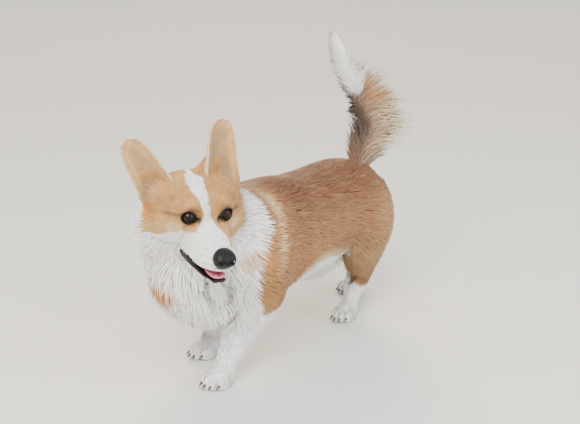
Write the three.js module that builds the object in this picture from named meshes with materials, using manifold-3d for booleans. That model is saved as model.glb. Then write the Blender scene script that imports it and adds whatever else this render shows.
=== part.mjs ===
// A Pembroke Welsh corgi at life size, walking slowly with its head turned to its left and its tail up.
// Millimetres, +Z up. The dog faces -Y, so its left side is +X, and it stands on the floor at z = 0.
// The outline is that of the coat. The animal is modelled whole as a blend of rounded shapes,
// and thin cuts then divide it into the parts that have names.
import * as THREE from "three";
import { mergeVertices } from "three/addons/utils/BufferGeometryUtils.js";
import Module from "manifold-3d";

const wasm = await Module();
wasm.setup();

// Driving dimensions
const WITHERS_HEIGHT = 284;
const RUMP_HEIGHT = 291;
const CHEST_BOTTOM = 88;
const TUCK_HEIGHT = 106;
const CHEST_HALF_WIDTH = 92;
const LOIN_HALF_WIDTH = 80;
const CHEST_FRONT = -240;
const RUMP_REAR = 281;
const HEAD_AT = [71, -281, 280.5]; // midway between the eyes
const HEAD_NOD = 11.5; // degrees, nose down
const HEAD_TILT = 1; // degrees, about the line of the muzzle
const HEAD_TURN = 61; // degrees to the dog's left
const EYE_SPACING = 52;
const EYE_RADIUS = 10.5;
const MUZZLE_LENGTH = 80; // eye line to the tip of the nose
const EAR_WIDTH = 55;
const EAR_THICKNESS = 6;
const TAIL_TOP = 512;
const FOREPAW_WIDTH = 44;
const HINDPAW_WIDTH = 40;
const PAW_LENGTH = 60;
const CLAW_LENGTH = 11;
const CLAW_RADIUS = 2.6;
const CUT = 0.3; // the gap that a cut leaves
const FAR = 700; // beyond the animal, for the sides of a cutting box that cut nothing
const SQUARED = 2.3; // the fullness of a section between an oval and a box

// Fillets where shapes flow into each other
const TRUNK_FILLET = 40;
const BIB_FILLET = 30;
const LIMB_FILLET = 26;
const HEAD_FILLET = 24;
const FACE_FILLET = 16;
const EAR_FILLET = 12;
const TAIL_FILLET = 12;
const PAW_FILLET = 8;
const PAD_FILLET = 7;
const NOSE_FILLET = 6;
const SOCKET_FILLET = 6;
const TOE_FILLET = 3;
const NOSTRIL_FILLET = 2;

// Cell sizes of the meshes
const TRUNK_CELL = 26;
const NECK_CELL = 20;
const LEG_CELL = 17;
const PAW_CELL = 11;
const HEAD_CELL = 12;
const JAW_CELL = 9.5;
const NOSE_CELL = 6.5;

const left = 1;
const right = -1;
const sides = { left, right };
const radians = THREE.MathUtils.degToRad;
const lerp = THREE.MathUtils.lerp;

// A shape is a function of x, y and z that is below zero inside the shape
// and near its surface gives about the distance to it.

function oval([cx, cy, cz], [rx, ry, rz]) {
  return (x, y, z) => {
    const [a, b, c] = [(x - cx) / rx, (y - cy) / ry, (z - cz) / rz];
    const reach = Math.hypot(a, b, c);
    const slope = Math.hypot(a / rx, b / ry, c / rz);
    return slope > 1e-9 ? (reach * (reach - 1)) / slope : -Math.min(rx, ry, rz);
  };
}

// Steps along a smooth line through stations, which each hold a place and two half sizes:
// wide, and at a right angle to it deep, towards the direction "over".
function stepsAlong(stations, over, count) {
  const line = new THREE.CatmullRomCurve3(stations.map(([at]) => new THREE.Vector3(...at)));
  const halves = stations.map(([, wide, deep]) => new THREE.Vector3(wide, deep, 0));
  const sizes = new THREE.CatmullRomCurve3(halves, false, "catmullrom");
  const steps = [];
  for (let i = 0; i <= count; i++) {
    const along = line.getTangent(i / count);
    const side = new THREE.Vector3(...over).cross(along).normalize();
    const up = along.clone().cross(side);
    steps.push({ at: line.getPoint(i / count), along, side, up, size: sizes.getPoint(i / count) });
  }
  return steps;
}

// A shape drawn along such a line. A fullness above 2 makes its section squarer, and its ends are rounded.
function sweep(stations, over, fullness = 2) {
  const count = (stations.length - 1) * 5;
  const steps = stepsAlong(stations, over, count);
  const point = new THREE.Vector3();
  const away = new THREE.Vector3();
  const run = new THREE.Vector3();
  return (x, y, z) => {
    point.set(x, y, z);
    let nearest = Infinity;
    let first = 0;
    let share = 0;
    for (let i = 0; i < count; i++) {
      run.subVectors(steps[i + 1].at, steps[i].at);
      away.subVectors(point, steps[i].at);
      const s = THREE.MathUtils.clamp(away.dot(run) / run.lengthSq(), 0, 1);
      const gap = away.addScaledVector(run, -s).lengthSq();
      if (gap < nearest) [nearest, first, share] = [gap, i, s];
    }
    const [a, b] = [steps[first], steps[first + 1]];
    const wide = lerp(a.size.x, b.size.x, share);
    const deep = lerp(a.size.y, b.size.y, share);
    const near = share < 0.5 ? a : b;
    away.subVectors(point, run.lerpVectors(a.at, b.at, share));
    const u = Math.abs(away.dot(near.side)) / wide;
    const v = Math.abs(away.dot(near.up)) / deep;
    const atEnd = (first === 0 && share === 0) || (first === count - 1 && share === 1);
    const w = atEnd ? away.dot(near.along) / Math.min(wide, deep) : 0;
    const reach = Math.hypot((u ** fullness + v ** fullness) ** (1 / fullness), w);
    const length = away.length();
    return reach > 1e-6 ? length * (1 - 1 / reach) : -Math.min(wide, deep);
  };
}

// Joins shapes with a soft fillet of about the given size.
function blend(size, ...shapes) {
  return (x, y, z) => {
    let sum = Infinity;
    for (const shape of shapes) {
      const d = shape(x, y, z);
      const h = Math.max(size - Math.abs(sum - d), 0) / size;
      sum = Math.min(sum, d) - (h * h * size) / 4;
    }
    return sum;
  };
}

// Takes the second shape out of the first, with a soft edge.
function hollow(size, shape, dent) {
  const kept = blend(size, (x, y, z) => -shape(x, y, z), dent);
  return (x, y, z) => -kept(x, y, z);
}

function frameOf(at, [nod, tilt, turn]) {
  const spin = (axis, degrees) => new THREE.Matrix4().makeRotationAxis(axis, radians(degrees));
  return new THREE.Matrix4()
    .makeTranslation(...at)
    .multiply(spin(new THREE.Vector3(0, 0, 1), turn))
    .multiply(spin(new THREE.Vector3(1, 0, 0), nod))
    .multiply(spin(new THREE.Vector3(0, 1, 0), tilt));
}

// The same shape in the coordinates of another frame.
function seenFrom(frame, shape) {
  const e = frame.elements;
  return (x, y, z) =>
    shape(
      e[0] * x + e[4] * y + e[8] * z + e[12],
      e[1] * x + e[5] * y + e[9] * z + e[13],
      e[2] * x + e[6] * y + e[10] * z + e[14],
    );
}

// Turns a shape into a closed mesh inside the box from low to high. Each cell of a grid that the surface
// crosses gets one vertex, which is then moved onto the surface, and the mesh is closed at the box.
function meshOf(shape, low, high, cell) {
  const count = low.map((l, i) => Math.ceil((high[i] - l) / cell) + 1);
  const place = (i, j, k) => [low[0] + i * cell, low[1] + j * cell, low[2] + k * cell];
  const index = (i, j, k) => (i * count[1] + j) * count[2] + k;
  const edge = (i, j, k) => [i, j, k].some((n, axis) => n === 0 || n === count[axis] - 1);
  const values = new Float64Array(count[0] * count[1] * count[2]);
  for (let i = 0; i < count[0]; i++)
    for (let j = 0; j < count[1]; j++)
      for (let k = 0; k < count[2]; k++) {
        const value = shape(...place(i, j, k));
        values[index(i, j, k)] = edge(i, j, k) ? Math.max(value, cell / 10) : value;
      }
  const corners = [0, 1, 2, 3, 4, 5, 6, 7].map((n) => [n & 1, (n >> 1) & 1, n >> 2]);
  const links = [];
  for (let a = 0; a < 8; a++)
    for (const bit of [1, 2, 4]) {
      if (!(a & bit)) links.push([a, a | bit]);
    }
  const vertexOf = new Map();
  const points = [];
  const vertex = (i, j, k) => {
    const key = index(i, j, k);
    if (vertexOf.has(key)) return vertexOf.get(key);
    const value = corners.map(([a, b, c]) => values[index(i + a, j + b, k + c)]);
    const sum = [0, 0, 0];
    let crossings = 0;
    for (const [a, b] of links) {
      if (value[a] < 0 === value[b] < 0) continue;
      const t = value[a] / (value[a] - value[b]);
      for (let axis = 0; axis < 3; axis++) sum[axis] += lerp(corners[a][axis], corners[b][axis], t);
      crossings++;
    }
    const at = place(i, j, k).map((p, axis) => p + (sum[axis] / crossings) * cell);
    vertexOf.set(key, points.length);
    points.push(settle(shape, at, cell));
    return points.length - 1;
  };
  const faces = [];
  for (let i = 0; i < count[0]; i++)
    for (let j = 0; j < count[1]; j++)
      for (let k = 0; k < count[2]; k++)
        for (let axis = 0; axis < 3; axis++) {
          const [b, c] = [(axis + 1) % 3, (axis + 2) % 3];
          const at = [i, j, k];
          const next = at.map((n, m) => n + (m === axis ? 1 : 0));
          if (next[axis] >= count[axis]) continue;
          const inside = values[index(...at)] < 0;
          if (inside === values[index(...next)] < 0) continue;
          const step = (db, dc) => vertex(...at.map((n, m) => n - (m === b ? db : m === c ? dc : 0)));
          const quad = [step(1, 1), step(0, 1), step(0, 0), step(1, 0)];
          if (!inside) quad.reverse();
          faces.push(...shortCut(points, quad));
        }
  const geometry = new THREE.BufferGeometry();
  geometry.setAttribute("position", new THREE.Float32BufferAttribute(points.flat(), 3));
  geometry.setIndex(faces);
  return geometry;
}

// Moves a point along the steepest slope onto the surface, by no more than half a cell.
function settle(shape, start, cell) {
  const at = [...start];
  for (let round = 0; round < 3; round++) {
    const value = shape(...at);
    const slope = at.map((_, axis) => {
      const beside = [...at];
      beside[axis] += 0.5;
      return (shape(...beside) - value) / 0.5;
    });
    const steep = Math.max(slope.reduce((sum, s) => sum + s * s, 0), 0.05);
    slope.forEach((s, axis) => (at[axis] -= (s * value) / steep));
  }
  const moved = Math.hypot(...at.map((p, axis) => p - start[axis]));
  const share = Math.min(1, (0.5 * cell) / Math.max(moved, 1e-9));
  return at.map((p, axis) => lerp(start[axis], p, share));
}

// Divides a four-sided face along its shorter diagonal.
function shortCut(points, [a, b, c, d]) {
  const span = (m, n) => Math.hypot(...points[m].map((p, axis) => p - points[n][axis]));
  return span(a, c) < span(b, d) ? [a, b, c, a, c, d] : [a, b, d, b, c, d];
}

// A closed mesh over a row of rings with the same number of points each, flat at both ends.
function meshOfRings(rings) {
  const points = rings.flat();
  const around = rings[0].length;
  const faces = [];
  const wall = (a, b, c, d) => faces.push(a, b, c, a, c, d);
  for (let ring = 0; ring < rings.length - 1; ring++)
    for (let n = 0; n < around; n++) {
      const [a, b] = [ring * around + n, ring * around + ((n + 1) % around)];
      wall(a, b, b + around, a + around);
    }
  const close = (ring, order) => {
    const middle = points.length;
    points.push([0, 1, 2].map((axis) => rings[ring].reduce((s, p) => s + p[axis] / around, 0)));
    for (let n = 0; n < around; n++) {
      const pair = [ring * around + n, ring * around + ((n + 1) % around)];
      faces.push(middle, pair[order], pair[1 - order]);
    }
  };
  close(0, 1);
  close(rings.length - 1, 0);
  const geometry = new THREE.BufferGeometry();
  geometry.setAttribute("position", new THREE.Float32BufferAttribute(points.flat(), 3));
  geometry.setIndex(faces);
  return geometry;
}

function solidOf(geometry, frame) {
  const bare = new THREE.BufferGeometry();
  bare.setAttribute("position", geometry.getAttribute("position").clone());
  bare.setIndex(geometry.index);
  if (frame) bare.applyMatrix4(frame);
  const merged = mergeVertices(bare, 1e-4);
  return new wasm.Manifold(
    new wasm.Mesh({
      numProp: 3,
      vertProperties: new Float32Array(merged.getAttribute("position").array),
      triVerts: new Uint32Array(merged.index.array),
    }),
  );
}

function geometryOf(solid) {
  const bodies = solid.decompose().sort((a, b) => b.volume() - a.volume());
  const { vertProperties, triVerts } = bodies[0].getMesh();
  const geometry = new THREE.BufferGeometry();
  geometry.setAttribute("position", new THREE.BufferAttribute(vertProperties, 3));
  geometry.setIndex(new THREE.BufferAttribute(triVerts, 1));
  return geometry;
}

// A box from low to high, grown on every side, as a solid to cut with.
function block(low, high, grow = 0, frame = undefined) {
  const size = low.map((l, axis) => high[axis] - l + 2 * grow);
  const box = new THREE.BoxGeometry(...size);
  box.translate(...low.map((l, axis) => (l + high[axis]) / 2));
  return solidOf(box, frame);
}

// Body of the dog

function trunkShape() {
  const chestTop = WITHERS_HEIGHT;
  const stations = [
    [CHEST_FRONT + 42, chestTop - 24, CHEST_BOTTOM + 12, CHEST_HALF_WIDTH - 22],
    [-150, chestTop, CHEST_BOTTOM, CHEST_HALF_WIDTH - 3],
    [-90, chestTop - 2, CHEST_BOTTOM + 3, CHEST_HALF_WIDTH],
    [-20, chestTop - 3, CHEST_BOTTOM + 12, CHEST_HALF_WIDTH - 1],
    [60, chestTop - 2, TUCK_HEIGHT - 2, LOIN_HALF_WIDTH + 6],
    [130, RUMP_HEIGHT - 2, TUCK_HEIGHT + 10, LOIN_HALF_WIDTH + 2],
    [190, RUMP_HEIGHT, TUCK_HEIGHT + 20, LOIN_HALF_WIDTH + 2],
    [RUMP_REAR - 48, RUMP_HEIGHT - 12, TUCK_HEIGHT + 36, LOIN_HALF_WIDTH - 9],
  ];
  return sweep(
    stations.map(([y, top, bottom, half]) => [[0, y, (top + bottom) / 2], half, (top - bottom) / 2]),
    [0, 0, 1],
    SQUARED,
  );
}

// The hair under the belly
function bellyShape() {
  return oval([0, 104, TUCK_HEIGHT + 16], [40, 78, 34]);
}

function neckShape() {
  return sweep(
    [
      [[0, -150, 196], 88, 84],
      [[-8, -196, 216], 88, 80],
      [[-10, -236, 244], 74, 68],
      [[2, -258, 268], 58, 54],
    ],
    [0, 0, 1],
  );
}

// The long hair of the neck and the chest
function bibShape() {
  const ruff = oval([-12, CHEST_FRONT + 30, 188], [95, 62, 68]);
  const bib = oval([-12, CHEST_FRONT + 38, 134], [78, 58, 64]);
  return blend(BIB_FILLET, ruff, bib);
}

function shoulderShape(side) {
  return oval([side * 66, -138, 168], [32, 52, 74]);
}

function thighShape(side) {
  return oval([side * 54, 212, 178], [36, 70, 88]);
}

// Legs, each from the body down to the pastern

const forelegs = {
  left: [
    [[54, -142, 128], 34, 42],
    [[50, -156, 92], 27, 34],
    [[46, -180, 62], 20, 27],
    [[42, -198, 38], 17, 23],
    [[40, -208, 20], 16, 19],
  ],
  right: [
    [[-54, -144, 128], 34, 42],
    [[-53, -134, 92], 26, 29],
    [[-53, -124, 62], 20, 21],
    [[-53, -120, 38], 17, 18],
    [[-53, -124, 20], 16, 17],
  ],
};

const hindlegs = {
  left: [
    [[50, 186, 152], 32, 56],
    [[48, 191, 112], 25, 40],
    [[45, 196, 80], 19, 27],
    [[43, 185, 56], 15, 20],
    [[41, 168, 36], 14, 18],
    [[40, 158, 20], 15, 17],
  ],
  right: [
    [[-49, 212, 152], 32, 54],
    [[-46, 244, 118], 25, 38],
    [[-41, 282, 88], 18, 24],
    [[-38, 299, 58], 14, 18],
    [[-36, 304, 34], 14, 17],
    [[-35, 302, 18], 15, 16],
  ],
};

// Each paw's place on the floor, under its middle, and how far it turns out
const forepaws = { left: { at: [39, -219], turn: 6 }, right: { at: [-53, -134], turn: -8 } };
const hindpaws = { left: { at: [40, 147], turn: 6 }, right: { at: [-34, 292], turn: -5 } };

// The paw in its own frame: its middle at the origin on the floor, toes towards -Y.
const TOES = [-1.5, -0.5, 0.5, 1.5];

function toeAt(toe, width) {
  const reach = 0.1 * PAW_LENGTH * (2.25 - toe * toe);
  return [toe * width * 0.235, -0.2 * PAW_LENGTH - reach * 0.6, 10];
}

function pawShape(width) {
  const toes = TOES.map((toe) => oval(toeAt(toe, width), [width * 0.165, PAW_LENGTH * 0.25, 12]));
  const top = oval([0, 4, 17], [width * 0.42, PAW_LENGTH * 0.38, 16]);
  const heel = oval([0, 12, 10], [width * 0.36, PAW_LENGTH * 0.28, 14]);
  return blend(PAD_FILLET, top, heel, blend(TOE_FILLET, ...toes));
}

function clawGeometry(toe, width, grow = 0) {
  const [x, y] = toeAt(toe, width);
  const rings = [];
  const steps = 3;
  const around = 5;
  const overrun = { 0: -grow, [steps]: grow };
  for (let step = 0; step <= steps; step++) {
    const t = step / steps;
    const radius = CLAW_RADIUS * (1 - 0.62 * t * t) + grow;
    const forward = y - PAW_LENGTH * 0.2 - CLAW_LENGTH * t - (overrun[step] ?? 0);
    const height = 9.5 + 0.8 * t - 5 * t * t;
    const ring = [];
    for (let n = 0; n < around; n++) {
      const angle = (2 * Math.PI * n) / around;
      ring.push([x + 0.8 * radius * Math.cos(angle), forward, height + radius * Math.sin(angle)]);
    }
    rings.push(ring);
  }
  return meshOfRings(rings);
}

// Tail: a plume that rises from the rump and leans forward at its tip. Its long hair spreads
// backwards and to the dog's left, so its section is flat, and its widest part is two fifths of the way up.

const PLUME_OVER = [0.707, -0.707, 0];

const tail = [
  [[10, 234, 258], 30, 22],
  [[14, 248, 298], 36, 24],
  [[24, 270, 330], 51, 25],
  [[28, 279, 361], 58, 25],
  [[24, 274, 391], 57, 23],
  [[15, 258, 415], 47, 20],
  [[4, 236, 439], 35, 17],
  [[-8, 221, 462], 22, 13],
  [[-16, 204, 487], 12, 9],
  [[-20, 189, TAIL_TOP], 3, 3],
];

function tailGeometry() {
  const around = 12;
  const rings = stepsAlong(tail, PLUME_OVER, 20).map(({ at, side, up, size }) =>
    Array.from({ length: around }, (_, n) => {
      const angle = (2 * Math.PI * n) / around;
      const point = at.clone().addScaledVector(side, size.x * Math.cos(angle));
      return point.addScaledVector(up, size.y * Math.sin(angle)).toArray();
    }),
  );
  return meshOfRings(rings);
}

// Head, in its own frame: midway between the eyes, x to the dog's left, y back and z up.

const headFrame = frameOf(HEAD_AT, [HEAD_NOD, HEAD_TILT, HEAD_TURN]);
const NOSE_TIP = -MUZZLE_LENGTH;

function headShape() {
  const muzzle = sweep(
    [
      [[0, 4, -22], 33, 27],
      [[0, -24, -28], 27, 22],
      [[0, -48, -34], 22, 18.5],
      [[0, NOSE_TIP + 18, -38], 18, 17],
    ],
    [0, 0, 1],
    SQUARED,
  );
  const skull = oval([0, 50, 6], [52, 62, 38]);
  const brow = (side) => oval([side * 22, 4, 10], [18, 16, 13]);
  const cheek = (side) => oval([side * 33, 42, -22], [37, 42, 37]);
  const temple = (side) => oval([side * 42, 54, 2], [28, 34, 30]);
  const ruff = (side) => oval([side * 42, 66, -40], [38, 36, 42]);
  const throat = oval([0, 44, -52], [38, 40, 26]);
  const flew = (side) => oval([side * 13, -32, -48], [13, 30, 15]);
  const both = (shape) => [shape(left), shape(right)];
  const features = [skull, throat, muzzle, ...both(cheek), ...both(brow), ...both(temple), ...both(flew)];
  const face = blend(FACE_FILLET, ...features);
  const socket = (side) => oval([side * (EYE_SPACING / 2 + 2), -16, 1], [15, 17, 13]);
  const sunk = hollow(SOCKET_FILLET, hollow(SOCKET_FILLET, face, socket(left)), socket(right));
  return blend(EAR_FILLET, sunk, ...both(ruff), earRoot(ears.left), earRoot(ears.right));
}

function jawShape() {
  return sweep(
    [
      [[0, 14, -60], 27, 16],
      [[0, -20, -69], 22, 14],
      [[0, NOSE_TIP + 23, -75], 14, 9],
    ],
    [0, 0, 1],
  );
}

function noseShape() {
  const ball = oval([0, NOSE_TIP + 10, -33], [15.5, 13, 12]);
  const bridge = oval([0, NOSE_TIP + 16, -29], [12, 10, 9]);
  const nostril = (side) => oval([side * 9, NOSE_TIP + 1, -34], [4, 6, 3.2]);
  const leather = blend(NOSE_FILLET, ball, bridge);
  return hollow(NOSTRIL_FILLET, hollow(NOSTRIL_FILLET, leather, nostril(left)), nostril(right));
}

// The lips, from the corner of the mouth to the front: how far back and how high. The mouth is open
// at the front, and its line bows down on the way.
const MOUTH_CORNER = [14, -48];
const UPPER_LIP = [[-28, -63], [NOSE_TIP, -56]];
const LOWER_LIP = [[-28, -71], [NOSE_TIP, -73]];

// The room that the lower jaw takes, below the given lip.
function jawRoom(lip, grow) {
  const outline = new THREE.Shape();
  outline.moveTo(MOUTH_CORNER[0] + grow, MOUTH_CORNER[1] + grow);
  outline.lineTo(MOUTH_CORNER[0] + grow, -FAR);
  outline.lineTo(-FAR, -FAR);
  outline.lineTo(-FAR, lip[1][1] + grow);
  for (const [y, z] of [...lip].reverse()) outline.lineTo(y, z + grow);
  const prism = new THREE.ExtrudeGeometry(outline, { depth: 2 * FAR, bevelEnabled: false });
  prism.translate(0, 0, -FAR);
  // The outline's x becomes the frame's y, its y becomes z, and its depth becomes x.
  const turned = new THREE.Matrix4().makeBasis(
    new THREE.Vector3(0, 1, 0),
    new THREE.Vector3(0, 0, 1),
    new THREE.Vector3(1, 0, 0),
  );
  return solidOf(prism, turned);
}

function tongueGeometry() {
  const rings = [];
  const [from, to] = [NOSE_TIP + 46, NOSE_TIP + 13];
  const steps = 5;
  const around = 8;
  const [[behind, low], [front, lowest]] = LOWER_LIP;
  for (let step = 0; step <= steps; step++) {
    const t = step / steps;
    const y = lerp(from, to, t);
    const floor = lerp(lowest, low, (y - front) / (behind - front));
    const half = 12 * Math.sqrt(1 - 0.8 * t ** 4);
    const thick = lerp(1.6, 4, t) * (t === 1 ? 0.6 : 1);
    const ring = [];
    for (let n = 0; n < around; n++) {
      const angle = (2 * Math.PI * n) / around;
      ring.push([half * Math.cos(angle), y, floor + CUT + thick * (1 + Math.sin(angle))]);
    }
    rings.push(ring);
  }
  return meshOfRings(rings);
}

// Ears. In an ear's own frame its root is at the origin, it stands along z and its hollow faces -Y.
// The dog carries them unevenly, so each has its own root, tip and the way its hollow faces,
// in degrees to the dog's left.

const ears = {
  left: { root: [43, 65, 28], tip: [50.5, 88, 110], facing: 12 },
  right: { root: [-51, 66, 19], tip: [-87, 90, 85], facing: -14 },
};
const EAR_CUT = 8; // up the ear from its root, where it leaves the head

function earFrame({ root, tip, facing }) {
  const along = new THREE.Vector3(...tip).sub(new THREE.Vector3(...root)).normalize();
  const back = new THREE.Vector3(-Math.sin(radians(facing)), Math.cos(radians(facing)), 0);
  const across = back.cross(along).normalize();
  const frame = new THREE.Matrix4().makeBasis(across, along.clone().cross(across), along);
  return frame.setPosition(...root);
}

function earLength({ root, tip }) {
  return new THREE.Vector3(...tip).distanceTo(new THREE.Vector3(...root));
}

// Half the ear's width at a share t of its length
function earHalfWidth(t) {
  return (EAR_WIDTH / 2) * (1 - 0.24 * t + 0.15 * (1 - t) ** 4) * Math.sqrt(1 - t ** 4.2);
}

// The broad root of the ear, which the head keeps
function earRoot(ear) {
  const root = sweep(
    [
      [[0, 4, -26], 26, 20],
      [[0, 4, EAR_CUT + 14], 25, 14],
    ],
    [0, -1, 0],
  );
  return seenFrom(earFrame(ear).invert(), root);
}

function earGeometry(ear) {
  const length = earLength(ear);
  const rings = [];
  const steps = 9;
  const across = 5;
  const start = EAR_CUT / length;
  for (let step = 0; step <= steps; step++) {
    const t = lerp(start, 1, Math.sin((0.97 * Math.PI * step) / steps / 2));
    const half = earHalfWidth(t);
    const dish = lerp(15, 3, t);
    const thick = EAR_THICKNESS * lerp(1.6, 0.75, t);
    const front = [];
    const back = [];
    for (let n = 0; n <= across; n++) {
      const u = lerp(-1, 1, n / across);
      const curl = dish * (0.55 - u * u);
      const skin = (thick / 2) * Math.sqrt(1.15 - u * u);
      front.push([u * half, curl - skin, t * length]);
      back.push([u * half, curl + skin, t * length]);
    }
    rings.push([...front, ...back.reverse()]);
  }
  return meshOfRings(rings);
}

// Materials

function finish(color, roughness) {
  return () => new THREE.MeshStandardMaterial({ color, roughness, metalness: 0 });
}

const redCoat = finish("#a87052", 0.85);
const whiteCoat = finish("#ece6df", 0.85);
const tanCoat = finish("#c3945f", 0.85);
const noseLeather = finish("#1c1a1b", 0.4);
const tongueSkin = finish("#d98a8c", 0.35);
const eyeGlass = finish("#23150e", 0.08);
const clawHorn = finish("#4a4038", 0.45);

// The whole animal, and its parts

function bodyShape() {
  const legs = [forelegs.left, forelegs.right, hindlegs.left, hindlegs.right];
  const trunk = blend(TRUNK_FILLET, trunkShape(), neckShape(), bibShape(), bellyShape());
  const flesh = [shoulderShape(left), shoulderShape(right), thighShape(left), thighShape(right)];
  const limbs = legs.map((stations) => sweep(stations, [0, -1, 0]));
  const paws = [
    [forepaws.left, FOREPAW_WIDTH],
    [forepaws.right, FOREPAW_WIDTH],
    [hindpaws.left, HINDPAW_WIDTH],
    [hindpaws.right, HINDPAW_WIDTH],
  ].map(([place, width]) => seenFrom(pawFrame(place).invert(), pawShape(width)));
  return blend(PAW_FILLET, blend(LIMB_FILLET, trunk, ...flesh, ...limbs), ...paws);
}

function pawFrame({ at: [x, y], turn }) {
  return frameOf([x, y, 0], [0, 0, turn]);
}

const body = bodyShape();
const headInBody = seenFrom(headFrame.clone().invert(), headShape());
const whole = blend(TAIL_FILLET, blend(HEAD_FILLET, body, headInBody), sweep(tail, PLUME_OVER));
const wholeInHead = seenFrom(headFrame, whole);

const model = new THREE.Group();
const headGroup = new THREE.Group();
headGroup.applyMatrix4(headFrame);
model.add(headGroup);

function add(group, name, solid, material) {
  const mesh = new THREE.Mesh(geometryOf(solid), material());
  mesh.name = name;
  group.add(mesh);
}

// The rooms of the named parts: each part is the whole animal inside its room.
// The head's room is turned to face along the bent neck.
const NECK_BACK = -168;
const PAW_TOP = 30;
const HEAD_ROOM_TURN = -16;
const FORELEG = { inner: 24, back: -60, top: 112 };
const HINDLEG = { inner: 2, front: 118, top: 168 };
const headRoom = { low: [-104, -FAR, -88], high: [104, 84, FAR] };
const headRoomFrame = frameOf([0, 0, 0], [0, 0, HEAD_ROOM_TURN]);
const earRoom = { low: [-36, -30, EAR_CUT], high: [36, 40, FAR] };
const tailRoom = { low: [-FAR, 150, 286], high: [FAR, FAR, FAR] };
const legRooms = {
  foreleg_left: { low: [FORELEG.inner, -FAR, -FAR], high: [FAR, FORELEG.back, FORELEG.top] },
  foreleg_right: { low: [-FAR, -FAR, -FAR], high: [-FORELEG.inner, FORELEG.back, FORELEG.top] },
  hindleg_left: { low: [HINDLEG.inner, HINDLEG.front, -FAR], high: [FAR, FAR, HINDLEG.top] },
  hindleg_right: { low: [-FAR, HINDLEG.front, -FAR], high: [-HINDLEG.inner, FAR, HINDLEG.top] },
};
const pawRooms = {
  forepaw_left: forepaws.left,
  forepaw_right: forepaws.right,
  hindpaw_left: hindpaws.left,
  hindpaw_right: hindpaws.right,
};

function cutFromWhole(low, high, cell) {
  return solidOf(meshOf(whole, low, high, cell));
}

function addHead() {
  const near = [-125, -110, -105];
  const beyond = [125, 125, 115];
  const noseRoom = [[-FAR, -FAR, -47], [FAR, NOSE_TIP + 14, FAR]];
  let head = solidOf(meshOf(wholeInHead, near, beyond, HEAD_CELL));
  head = head.intersect(block(headRoom.low, headRoom.high, 0, headRoomFrame));
  head = head.subtract(jawRoom(UPPER_LIP, CUT)).subtract(block(...noseRoom, CUT));
  for (const [name, side] of Object.entries(sides)) {
    const eye = (grow) => new THREE.SphereGeometry(EYE_RADIUS + grow, 12, 8);
    const at = new THREE.Matrix4().makeTranslation((side * EYE_SPACING) / 2, 3, 0);
    head = head.subtract(solidOf(eye(CUT), at));
    add(headGroup, "eye_" + name, solidOf(eye(0), at), eyeGlass);
    const frame = earFrame(ears[name]);
    head = head.subtract(block(earRoom.low, earRoom.high, CUT, frame));
    add(headGroup, "ear_" + name, solidOf(earGeometry(ears[name]), frame), tanCoat);
  }
  add(headGroup, "head", head, tanCoat);
  const nose = solidOf(meshOf(noseShape(), [-22, NOSE_TIP - 8, -55], [22, NOSE_TIP + 26, -10], NOSE_CELL));
  add(headGroup, "nose", nose.intersect(block(...noseRoom)), noseLeather);
  const jaw = solidOf(meshOf(jawShape(), [-34, NOSE_TIP - 4, -95], [34, 34, -36], JAW_CELL));
  add(headGroup, "lower_jaw", jaw.intersect(jawRoom(LOWER_LIP, 0)), whiteCoat);
  add(headGroup, "tongue", solidOf(tongueGeometry()), tongueSkin);
}

function addTrunkNeckAndTail() {
  const neckLow = [-FAR, -FAR, -FAR];
  const neckHigh = [FAR, NECK_BACK, FAR];
  const clear = (solid) => {
    const headRoomInBody = headFrame.clone().multiply(headRoomFrame);
    let cleared = solid.subtract(block(headRoom.low, headRoom.high, CUT, headRoomInBody));
    for (const ear of Object.values(ears)) {
      const frame = headFrame.clone().multiply(earFrame(ear));
      cleared = cleared.subtract(block(earRoom.low, earRoom.high, CUT, frame));
    }
    for (const room of Object.values(legRooms)) cleared = cleared.subtract(block(room.low, room.high, CUT));
    return cleared;
  };
  const neck = cutFromWhole([-125, -300, 70], [125, NECK_BACK + 26, 330], NECK_CELL);
  add(model, "neck", clear(neck).intersect(block(neckLow, neckHigh)), whiteCoat);
  const trunk = cutFromWhole([-125, NECK_BACK - 31, 70], [125, 305, 318], TRUNK_CELL)
    .subtract(block(neckLow, neckHigh, CUT))
    .subtract(block(tailRoom.low, tailRoom.high, CUT));
  add(model, "trunk", clear(trunk), redCoat);
  const plume = solidOf(tailGeometry());
  add(model, "tail", plume.intersect(block(tailRoom.low, tailRoom.high)), redCoat);
}

const LEG_MARGIN = 12; // mesh made beyond a leg's room, for the cuts to trim

function addLegs() {
  for (const [name, room] of Object.entries(legRooms)) {
    const reach = [[-100, 100], [-300, 330], [PAW_TOP, FAR]];
    const near = reach.map(([low], axis) => Math.max(low, room.low[axis]) - LEG_MARGIN);
    const beyond = reach.map(([, high], axis) => Math.min(high, room.high[axis]) + LEG_MARGIN);
    const rear = name.startsWith("hind");
    const leg = cutFromWhole(near, beyond, LEG_CELL)
      .intersect(block(room.low, room.high))
      .subtract(block([-FAR, -FAR, -FAR], [FAR, FAR, PAW_TOP], CUT));
    add(model, name, leg, rear ? redCoat : whiteCoat);
  }
}

function addPaws() {
  for (const [name, place] of Object.entries(pawRooms)) {
    const width = name.startsWith("hind") ? HINDPAW_WIDTH : FOREPAW_WIDTH;
    const frame = pawFrame(place);
    const group = new THREE.Group();
    group.applyMatrix4(frame);
    model.add(group);
    const shape = seenFrom(frame, whole);
    let paw = solidOf(meshOf(shape, [-34, -50, -9], [34, 50, PAW_TOP + 8], PAW_CELL));
    paw = paw.intersect(block([-FAR, -FAR, 0], [FAR, FAR, PAW_TOP]));
    TOES.forEach((toe, n) => {
      paw = paw.subtract(solidOf(clawGeometry(toe, width, CUT)));
      add(group, name.replace("paw", "claw") + "_" + (n + 1), solidOf(clawGeometry(toe, width)), clawHorn);
    });
    add(group, name, paw, whiteCoat);
  }
}

addHead();
addTrunkNeckAndTail();
addLegs();
addPaws();

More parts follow.
